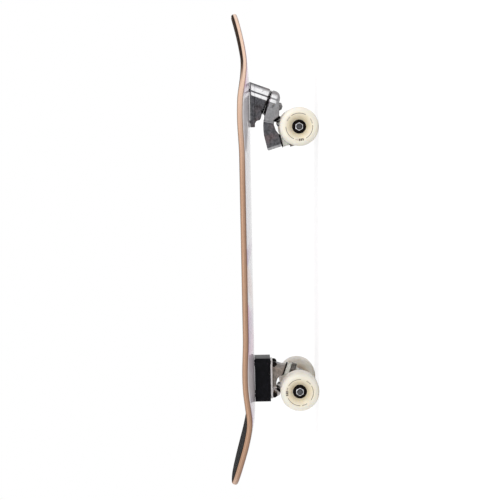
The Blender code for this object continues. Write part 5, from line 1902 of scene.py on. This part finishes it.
@dataclass
class FrontTruck:
    """The swinging truck: base housing, swing arm and what holds them together.

    Side outlines are (down, back) from the base's middle; a highlight value is a share of the full
    painted highlight, which also makes the metal smoother.
    """

    base: Matrix
    swing: Matrix
    axle_set: AxleSet
    voxel: float = 0.00062
    base_size: Place = (0.073, 0.051, 0.0086)
    base_corner: float = 0.006
    flange: float = 0.0026
    heel_start: float = 0.0125
    brow: Outline = (
        (0.0010, -0.0350), (0.0030, -0.0369), (0.0088, -0.0369), (0.0240, -0.0320),
        (0.0240, -0.0250), (0.0010, -0.0250))
    barrel_radius: float = 0.0236
    barrel_length: float = 0.055
    barrel_wall: float = 0.0080
    barrel_chamfer: float = 0.0028
    bore_depth: float = 0.0195
    joint_gap: float = 0.0016
    thrust_height: float = 0.0028
    arm_depth: float = 0.0195
    arm_round_start: float = 0.0085
    arm_flat_radius: float = 0.0090
    root_half_width: float = 0.0222
    tail_half_width: float = 0.0205
    gusset_half_width: float = 0.0192
    seat_half_width: float = 0.0125
    seat_edge: float = 0.0095
    sleeve_wall: float = 0.0018
    bolt_radius: float = 0.006
    bolt_end: float = 0.007
    bolt_thread: Thread = Thread(0.00125, 0.0005)
    thread_radius: float = 0.004
    nut_flats: float = 0.013
    nut_height: float = 0.006
    nut_pocket: float = 0.0086
    nut_floor: float = 0.003
    seal_width: float = 0.0026
    gusset: Outline = (
        (0.002, -0.010), (0.016, -0.004), (0.0205, 0.0135), (0.0193, 0.0200), (0.0172, 0.0242),
        (0.0115, 0.0256), (0.0090, 0.0290), (0.002, 0.0290))
    root_board_side: Outline = (
        (0.0330, -0.0045), (0.0252, 0.0170), (0.0240, 0.0255), (0.0405, 0.0290))
    root_road_side: Outline = ((0.0505, 0.0120), (0.0505, -0.0080))
    tail_board_side: Outline = (
        (0.0300, 0.0140), (0.0236, 0.0242), (0.0228, 0.0330), (0.0230, 0.0423), (0.0238, 0.0509),
        (0.0257, 0.0595), (0.0300, 0.0770))
    tail_road_side: Outline = ((0.0440, 0.0423), (0.0406, 0.0319), (0.0425, 0.0200))
    # Painted highlight bands down the barrel: where they start and end across it, how they fade,
    # how they dim past the arm's end, and the painted dark line that splits them.
    band_start: Flat = (0.09, 0.13)
    band_ends: Flat = (0.60, 0.68)
    band_fade: float = 0.24
    band_reach: Flat = (0.0125, 0.0150)
    groove_at: float = 0.395
    groove: Flat = (0.043, 0.07)
    fold_down: float = 0.0240
    fold_back: float = 0.0262
    fold_slope: float = 0.21
    # Shares of painted highlight on the arm's root, fold line and lip.
    root_polish: float = 0.24
    fold_polish: float = 0.38
    lip_polish: float = 0.30
    # Shares of painted highlight on the housing's plate side, and the least anywhere.
    plate_polish: float = 0.08
    least_polish: float = 0.02

    @property
    def local_swing(self) -> Matrix:
        """Return the swing joint in the base's frame."""
        return self.base.inverted() @ self.swing

    @property
    def thrust_radius(self) -> float:
        """Return the thrust bearing's outer radius."""
        return self.barrel_radius - self.barrel_wall + 0.003

    def housing_shape(self) -> Mesh:
        """Return the base housing in the base's frame."""
        length, width, thick = self.base_size
        low, radius, chamfer = self.joint_gap / 2.0, self.barrel_radius, self.barrel_chamfer
        plate = slab(rectangle(length, width, self.base_corner), -thick, -CLEAR)
        brow = side_slab(side_points(self.brow), width / 2.0 - self.base_corner)
        barrel = turned([(0.0, low), (radius - chamfer, low), (radius, low + chamfer),
                         (radius, self.barrel_length), (0.0, self.barrel_length)], 128)
        gusset = side_slab(side_points(self.gusset), self.gusset_half_width)
        above = slab(rectangle(2.0 * BEYOND, BEYOND, 0.001), -CLEAR, BEYOND)
        barrel = cut(moved(barrel, self.local_swing), above)
        body = cast([plate, brow, barrel, gusset], self.voxel)
        bore = rod(radius - self.barrel_wall, -BEYOND, self.bore_depth, 64)
        way = rod(self.bolt_radius + CLEAR, -BEYOND, self.bore_depth + self.bolt_end + CLEAR)
        body = cut(body, moved(bore, self.local_swing), moved(way, self.local_swing))
        return with_painted_highlight(body, self.housing_polish)

    def band(self, point: Vector) -> float:
        """Return the painted highlight bands down the barrel's nose side, split by a painted dark
        line, at a point in the base.
        """
        in_joint = self.local_swing.inverted() @ point
        out = -in_joint.x / self.barrel_radius
        groove = 1.0 - ramp_up(abs(out - self.groove_at), *self.groove)
        past_end = ramp_up(-in_joint.z, *self.band_reach)
        fade_at = self.band_ends[0 if in_joint.z < 0.0 else 1]
        across = ramp_up(out, *self.band_start)
        across *= 1.0 - ramp_up(out, fade_at, fade_at + self.band_fade)
        return across * (1.0 - 0.97 * groove) * (1.0 - 0.8 * past_end)

    def housing_polish(self, point: Vector) -> float:
        """Return the housing's share of painted highlight at a point."""
        on_plate = ramp_up(point.z, -self.flange - 0.0008, -self.flange + 0.0003)
        on_heel = (ramp_up(point.x, self.heel_start - 0.014, self.heel_start)
                   * ramp_up(point.z, -self.base_size[2], -0.008))
        return max(self.band(point) * (1.0 - max(on_plate, on_heel)), self.plate_polish * on_plate,
                   self.least_polish)

    def arm_polish(self, point: Vector) -> float:
        """Return the arm's share of painted highlight at a point: highlight bands on the head, some
        on the root, a highlight line on the fold and the lip, little on the tail.
        """
        fold = self.fold_back + (-point.z - self.fold_down) * self.fold_slope
        root = 1.0 - ramp_up(point.x, fold - 0.0004, fold + 0.0004)
        edge = 1.0 - ramp_up(abs(point.x - fold), 0.0005, 0.0011)
        lip = 1.0 - ramp_up(self.end_distance(point), 0.0040, 0.0046)
        return max(self.band(point), root * self.root_polish, self.fold_polish * edge,
                   self.lip_polish * lip, self.least_polish)

    def arm_seat(self, along_run: float) -> Vector:
        """Return a place on the arm's seat for the bushing stack, in the base's frame."""
        return (self.base.inverted() @ self.axle_set.hanger @ self.axle_set.ring
                @ Vector((along_run, 0.0, self.axle_set.seat)))

    def end_distance(self, point: Vector) -> float:
        """Return a point's distance inside the arm's end face, in the base's frame."""
        down, back = self.tail_board_side[-1]
        board = Vector((back, 0.0, -down))
        run = self.arm_seat(-self.seat_edge) - board
        return abs((point - board).dot(Vector((-run.z, 0.0, run.x)).normalized()))

    def knuckle_section(self) -> Section:
        """Return the section of the arm's round head under the barrel."""
        top, flat = -self.joint_gap / 2.0, self.arm_flat_radius
        run_in, run_down = self.barrel_radius - flat, self.arm_depth - self.arm_round_start
        return [(0.0, top), (self.barrel_radius - self.barrel_chamfer, top),
                (self.barrel_radius, top - self.barrel_chamfer),
                *((flat + run_in * math.cos(angle),
                   -self.arm_round_start - run_down * math.sin(angle)) for angle in quarter(16)),
                (0.0, -self.arm_depth)]

    def arm_shape(self) -> Mesh:
        """Return the swing arm in the base's frame."""
        axle_set, place = self.axle_set, self.local_swing
        hanger = self.base.inverted() @ axle_set.hanger
        ring, cup = hanger @ axle_set.ring, hanger @ axle_set.cup
        mouth = cup @ Vector((0.0, 0.0, -0.0015))
        mouth_run = ((cup.to_3x3() @ Vector((1.0, 0.0, 0.0)))
                     * (axle_set.nose_tip + axle_set.cup_wall) * 0.9)
        root = profile(self.root_board_side, (mouth - mouth_run, mouth + mouth_run),
                       self.root_road_side, 0.002)
        tail = profile(
            self.tail_board_side,
            (self.arm_seat(-self.seat_edge), self.arm_seat(self.seat_half_width)),
            self.tail_road_side, 0.0016)
        knuckle = moved(turned(self.knuckle_section(), 128), place)
        body = cast([knuckle, side_slab(root, self.root_half_width),
                     side_slab(tail, self.tail_half_width)], self.voxel)
        thrust_low = self.joint_gap / 2.0 - CLEAR - self.thrust_height
        cuts = [moved(rod(self.thrust_radius + CLEAR, thrust_low - CLEAR, BEYOND, 64), place),
                moved(rod(self.bolt_radius + self.sleeve_wall + 2.0 * CLEAR,
                          self.nut_floor - self.arm_depth, BEYOND), place),
                moved(rod(self.thread_radius + CLEAR, -BEYOND, 0.0), place),
                moved(rod(self.nut_pocket, -BEYOND, -self.arm_depth, 64), place),
                moved(axle_set.cup_room(), cup),
                moved(rod(axle_set.kingpin_hole, 0.0, axle_set.seat + axle_set.grip + CLEAR), ring)]
        return with_painted_highlight(cut(body, *cuts), self.arm_polish)

    def build(self) -> None:
        """Build and dress the truck's castings, pivot bolt, nut and seal."""
        stand("front_housing_casting", self.housing_shape(), self.base, Finish.FRONT_CAST, "board",
              ["front_base_housing"], sharp=50.0)
        stand("front_arm_casting", self.arm_shape(), self.base, Finish.FRONT_CAST, "front_arm",
              ["front_swing_arm"], sharp=50.0)
        shoulder = self.nut_floor - self.arm_depth + CLEAR
        tip = -(self.arm_depth + CLEAR + self.nut_height + 0.0015)
        end = self.bore_depth + self.bolt_end
        bolt = [(0.0, tip), *self.bolt_thread.section(self.thread_radius, tip, shoulder - 0.001),
                (self.thread_radius, shoulder), (self.bolt_radius, shoulder),
                (self.bolt_radius, end), (0.0, end)]
        stand("swing_bolt", Turned(bolt, 48), self.swing, Finish.STEEL, "board", ["pivot_bolt"])
        nut = lock_nut(self.nut_flats, self.thread_radius + CLEAR, self.nut_height, 0.28)
        under = self.swing @ shift(0.0, 0.0, -self.arm_depth - CLEAR) @ about("X", 180.0)
        # The pivot nut takes the darker copy of the plated steel, as painted shade.
        stand("swing_lock_nut", nut, under, Finish.DARK_STEEL, "board", ["pivot_nut"])
        half, lip = self.joint_gap / 2.0 - CLEAR, self.thrust_radius + 3.0 * CLEAR
        rim = lip + self.seal_width
        seal = rounded([(lip, -half), (rim, -half), (rim, half), (lip, half)], 0.0002, steps=3)
        stand("joint_seal", Turned(seal, 128), self.swing, Finish.PLASTIC, "board", ["dust_seal"])


@dataclass
class RearTruck:
    """The fixed rear truck: riser block, base plate and its nuts."""

    base: Matrix
    plate: Matrix
    axle_set: AxleSet
    voxel: float = 0.00055
    corner_rounding: float = 0.0012
    riser_size: Place = (0.0752, 0.056, 0.027)
    riser_corner: float = 0.004
    riser_edge: float = 0.0007
    plate_size: Place = (0.0660, 0.054, 0.0035)
    plate_corner: float = 0.006
    seat_half_width: float = 0.0125
    seat_nose_edge: float = 0.0072
    socket_wall: float = 0.0024
    socket_ends: Flat = (-0.0015, 0.004)
    head_room: float = 0.0078
    bolt_hole: float = 0.0027
    bolt_seat: Flat = (0.027, 0.02065)
    nut_flats: float = 0.0088
    nut_height: float = 0.0055
    nut_bore: float = 0.0024
    bracket_half_width: float = 0.0097
    bracket_recess: float = 0.0018
    boss_nose_side: Outline = ((0.0010, -0.0280), (0.0085, -0.0270))
    boss_tail_side: Outline = (
        (0.0155, -0.0047), (0.0115, 0.0003), (0.0098, 0.0060), (0.0098, 0.0120), (0.0115, 0.0165),
        (0.0010, 0.0180))
    bracket_side: Outline = (
        (0.0010, 0.0140), (0.0045, 0.0150), (0.0150, 0.0235), (0.0166, 0.0258), (0.0150, 0.0292),
        (0.0105, 0.0318), (0.0010, 0.0322))
    bracket_hollow: Outline = (
        (0.0050, 0.0282), (0.0088, 0.0276), (0.0116, 0.0256), (0.0110, 0.0240), (0.0050, 0.0196))
    # Shares of painted highlight on the flange, the bracket's rim and the boss; the bracket's
    # hollow gets none and stays dark as painted shade.
    flange_polish: float = 0.68
    bracket_polish: float = 0.62
    boss_polish: float = 0.16

    def riser_shape(self) -> Mesh:
        """Return the riser block with soft upright corners and lightly broken edges."""
        length, width, height = self.riser_size
        bm = bmesh.new()
        bm.from_mesh(slab(rectangle(length, width, self.riser_corner), -height, 0.0))
        rims = [
            edge for edge in bm.edges if abs(edge.verts[0].co.z - edge.verts[1].co.z) < 1e-6
            and len(edge.link_faces) == 2 and any(len(face.verts) > 4 for face in edge.link_faces)]
        bmesh.ops.bevel(
            bm, geom=rims, offset=self.riser_edge, segments=3, affect="EDGES", profile=0.5)
        return mesh_of(bm)

    def seats(self, level: float) -> list[Place]:
        """Return the plate's four bolt places at a height."""
        x, y = self.bolt_seat
        return [(end * x, side * y, level) for end in (-1, 1) for side in (-1, 1)]

    def plate_shape(self) -> Mesh:
        """Return the base plate in its own frame."""
        axle_set, rounding = self.axle_set, self.corner_rounding
        hanger = self.plate.inverted() @ axle_set.hanger
        ring, cup = hanger @ axle_set.ring, hanger @ axle_set.cup
        length, width, thick = self.plate_size
        flange = slab(rectangle(length, width, self.plate_corner), -thick, 0.0)
        seat = ring @ Vector((0.0, 0.0, axle_set.seat))
        run = ring.to_3x3() @ Vector((1.0, 0.0, 0.0))
        near, far = seat - run * self.seat_nose_edge, seat + run * self.seat_half_width
        boss = profile(self.boss_nose_side, (near, far), self.boss_tail_side, rounding)
        outer = axle_set.nose_tip + axle_set.cup_wall + self.socket_wall
        bracket = rounded(side_points(self.bracket_side), rounding)
        body = cast([flange, side_slab(boss, self.seat_half_width),
                     moved(rod(outer, *self.socket_ends), cup),
                     side_slab(bracket, self.bracket_half_width)], self.voxel)
        hollows = [moved(side_slab(side_points(self.bracket_hollow), self.bracket_recess),
                         shift(0.0, side * self.bracket_half_width, 0.0)) for side in (-1.0, 1.0)]
        head = axle_set.seat + axle_set.grip - CLEAR
        drills = [moved(rod(self.bolt_hole, -BEYOND, BEYOND, 28), shift(*seat))
                  for seat in self.seats(0.0)]
        body = cut(body, *hollows, moved(axle_set.cup_room(), cup),
                   moved(rod(axle_set.kingpin_hole, 0.0, BEYOND), ring),
                   moved(rod(self.head_room, head, BEYOND), ring), joined(drills))
        return with_painted_highlight(body, self.plate_polish)

    def plate_polish(self, point: Vector) -> float:
        """Return the plate's share of painted highlight: a painted highlight on the flange and the
        bracket's rim, less on the boss, none in the hollow, which stays dark as painted shade.
        """
        thick = self.plate_size[2]
        flange = 1.0 - ramp_up(-point.z, thick - 0.0004, thick + 0.0004)
        bracket = ramp_up(point.x, 0.0130, 0.0145)
        rim = ramp_up(abs(point.y), self.bracket_half_width - 0.9 * self.bracket_recess,
                      self.bracket_half_width - 0.001)
        return max(self.flange_polish * flange, self.bracket_polish * bracket * rim,
                   self.boss_polish * (1.0 - bracket))

    def build(self) -> None:
        """Build and dress the riser, the plate and the four nuts."""
        stand("riser_block", self.riser_shape(), self.base, Finish.RISER, "board", ["rear_riser"])
        stand("rear_plate_casting", self.plate_shape(), self.plate, Finish.REAR_CAST, "board",
              ["rear_base_plate"], sharp=50.0)
        nut = moved(
            lock_nut(self.nut_flats, self.nut_bore + CLEAR, self.nut_height), about("X", 180.0))
        nuts = repeated(nut, self.seats(-self.plate_size[2] - CLEAR), Finish.BLACK_STEEL, 11)
        stand("rear_plate_nuts", nuts, self.plate, Finish.BLACK_STEEL, "board",
              [f"rear_bolt_{number}" for number in range(1, 5)])


# The room


class Lamp(NamedTuple):
    """A soft area lamp: where it stands, what it is aimed at, its size and its power in watts."""

    name: str
    at: Place
    to: Place
    width: float
    height: float
    power: float


@dataclass
class Studio:
    """A white sweep, soft lamps and the camera of the photograph."""

    camera_at: Place = (0.2130, -2.903, 0.1153)
    tilt: float = 4.187
    roll: float = -0.30
    focal_share: float = 3.36
    sensor: float = 36.0
    floor_reach: float = 40.0
    floor_grey: float = 0.9
    floor_show: float = 0.35
    mirrored_glow: float = 0.7
    seen_glow: float = 1.2
    ambient: float = 0.85
    lamps: tuple[Lamp, ...] = (
        Lamp("nose_softbox", (1.25, -1.1, 0.85), (0.15, 0.0, 0.05), 1.1, 0.8, 7.0),
        Lamp("near_softbox", (-0.25, -2.5, 1.0), (0.0, 0.0, 0.05), 1.6, 1.2, 6.0),
        Lamp("tail_softbox", (-1.5, 0.6, 0.9), (-0.1, 0.0, 0.05), 1.0, 0.8, 3.5))

    def build(self) -> None:
        """Make the camera, the floor, the world and the lamps."""
        self.camera()
        self.floor()
        self.world()
        for lamp in self.lamps:
            self.light(lamp)

    def camera(self) -> None:
        """Add the camera, lying on its side and swung a little towards the tail."""
        data = bpy.data.cameras.new("photo_camera")
        data.sensor_width = self.sensor
        data.lens = self.focal_share * self.sensor
        data.clip_end = 100.0
        made = added("photo_camera", data)
        tilt = math.radians(self.tilt)
        forward = Vector((-math.sin(tilt), math.cos(tilt), 0.0))
        up = Vector((math.cos(tilt), math.sin(tilt), 0.0))
        turn = Matrix((forward.cross(up), up, -forward)).transposed().to_4x4()
        made.matrix_world = shift(*self.camera_at) @ turn @ about("Z", self.roll)
        bpy.context.scene.camera = made

    def floor(self) -> None:
        """Add the floor: white to the camera, with the board's shadow faintly kept."""
        reach = self.floor_reach
        made = added(
            "floor",
            slab([(-reach, -reach), (reach, -reach), (reach, reach), (-reach, reach)], -0.01, 0.0))
        material = bpy.data.materials.new("white_floor")
        material.use_nodes = True
        bench = Bench(material.node_tree)
        shader = material.node_tree.nodes["Principled BSDF"]
        grey = self.floor_grey
        for name, value in (("Base Color", (grey, grey, grey, 1.0)), ("Roughness", 0.9),
                            ("Specular IOR Level", 0.0)):
            bench.feed(shader.inputs[name], value)
        seen, mirrored = bench.rays()
        glow = bench.take("ShaderNodeEmission", {
            "Color": WHITE, "Strength": self.seen_glow - mirrored * (self.seen_glow - 1.0)})
        share = bench.clamp(seen * (1.0 - self.floor_show) + mirrored * self.mirrored_glow)
        mixed = bench.take("ShaderNodeMixShader", {0: share, 1: shader.outputs[0], 2: glow})
        bench.feed(material.node_tree.nodes["Material Output"].inputs["Surface"], mixed)
        made.data.materials.append(material)

    def world(self) -> None:
        """Set the world: white where it is seen or mirrored, softer as light."""
        made = bpy.data.worlds.new("white_room")
        bpy.context.scene.world = made
        made.use_nodes = True
        bench = Bench(made.node_tree)
        back = made.node_tree.nodes["Background"]
        seen, mirrored = bench.rays()
        share = bench.clamp(seen + mirrored)
        bench.feed(back.inputs["Color"], WHITE)
        bench.feed(back.inputs["Strength"], share * (1.0 - self.ambient) + self.ambient)

    def light(self, lamp: Lamp) -> None:
        """Add one soft area lamp."""
        data = bpy.data.lights.new(lamp.name, "AREA")
        data.shape = "RECTANGLE"
        data.size = lamp.width
        data.size_y = lamp.height
        data.energy = lamp.power
        aim = (Vector(lamp.to) - Vector(lamp.at)).to_track_quat("-Z", "Y")
        added(lamp.name, data).matrix_world = shift(*lamp.at) @ aim.to_matrix().to_4x4()


def dress_hidden_solids(nodes: dict[str, Thing]) -> None:
    """Give the solids that stay as they are, inside the trucks, their finishes."""
    kept = {"pivot_sleeve": Finish.BRONZE, "torsion_spring": Finish.STEEL,
            "thrust_bearing": Finish.BLACK_STEEL}
    kept |= {f"{truck}_{side}_spacer": Finish.STEEL
             for truck in ("front", "rear") for side in ("left", "right")}
    for name, finish in kept.items():
        node = nodes[name]
        node.data.materials.clear()
        node.data.materials.append(finish.material)
        LOG.info("solid %s keeps its shape, finish %s", name, finish.name)


def main() -> None:
    """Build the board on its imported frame, dress it and light it."""
    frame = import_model()
    joints = {joint["name"]: joint for joint in frame["joints"]}
    bpy.context.scene.view_settings.view_transform = "Standard"

    stance = Stance()
    deck = stance.deck(joints)
    LOG.info("deck stands at %s", tuple(round(value, 5) for value in deck.translation))

    Studio().build()
    Deck(deck, (stance.front_mount_x, stance.rear_mount_x)).build()

    front = AxleSet("front", stance.front_hanger(deck), "front_arm", bushing_height=0.0112,
                    grip=0.012, headed=False)
    FrontTruck(stance.front_base(deck), stance.swing(deck), front).build()
    front.build({-1.0: Wheel("front_right", 20.0), 1.0: Wheel("front_left", 140.0)})

    rear = AxleSet(
        "rear", stance.rear_hanger(deck), "board", bushing_height=0.0075, grip=0.011, headed=True)
    RearTruck(stance.base(deck, stance.rear_mount_x), stance.rear_plate(deck), rear).build()
    rear.build({-1.0: Wheel("rear_right", -75.0), 1.0: Wheel("rear_left", 55.0)})

    dress_hidden_solids(frame["nodes"])


if __name__ == "__main__":
    logging.basicConfig(level=logging.INFO, format="%(message)s")
    main()
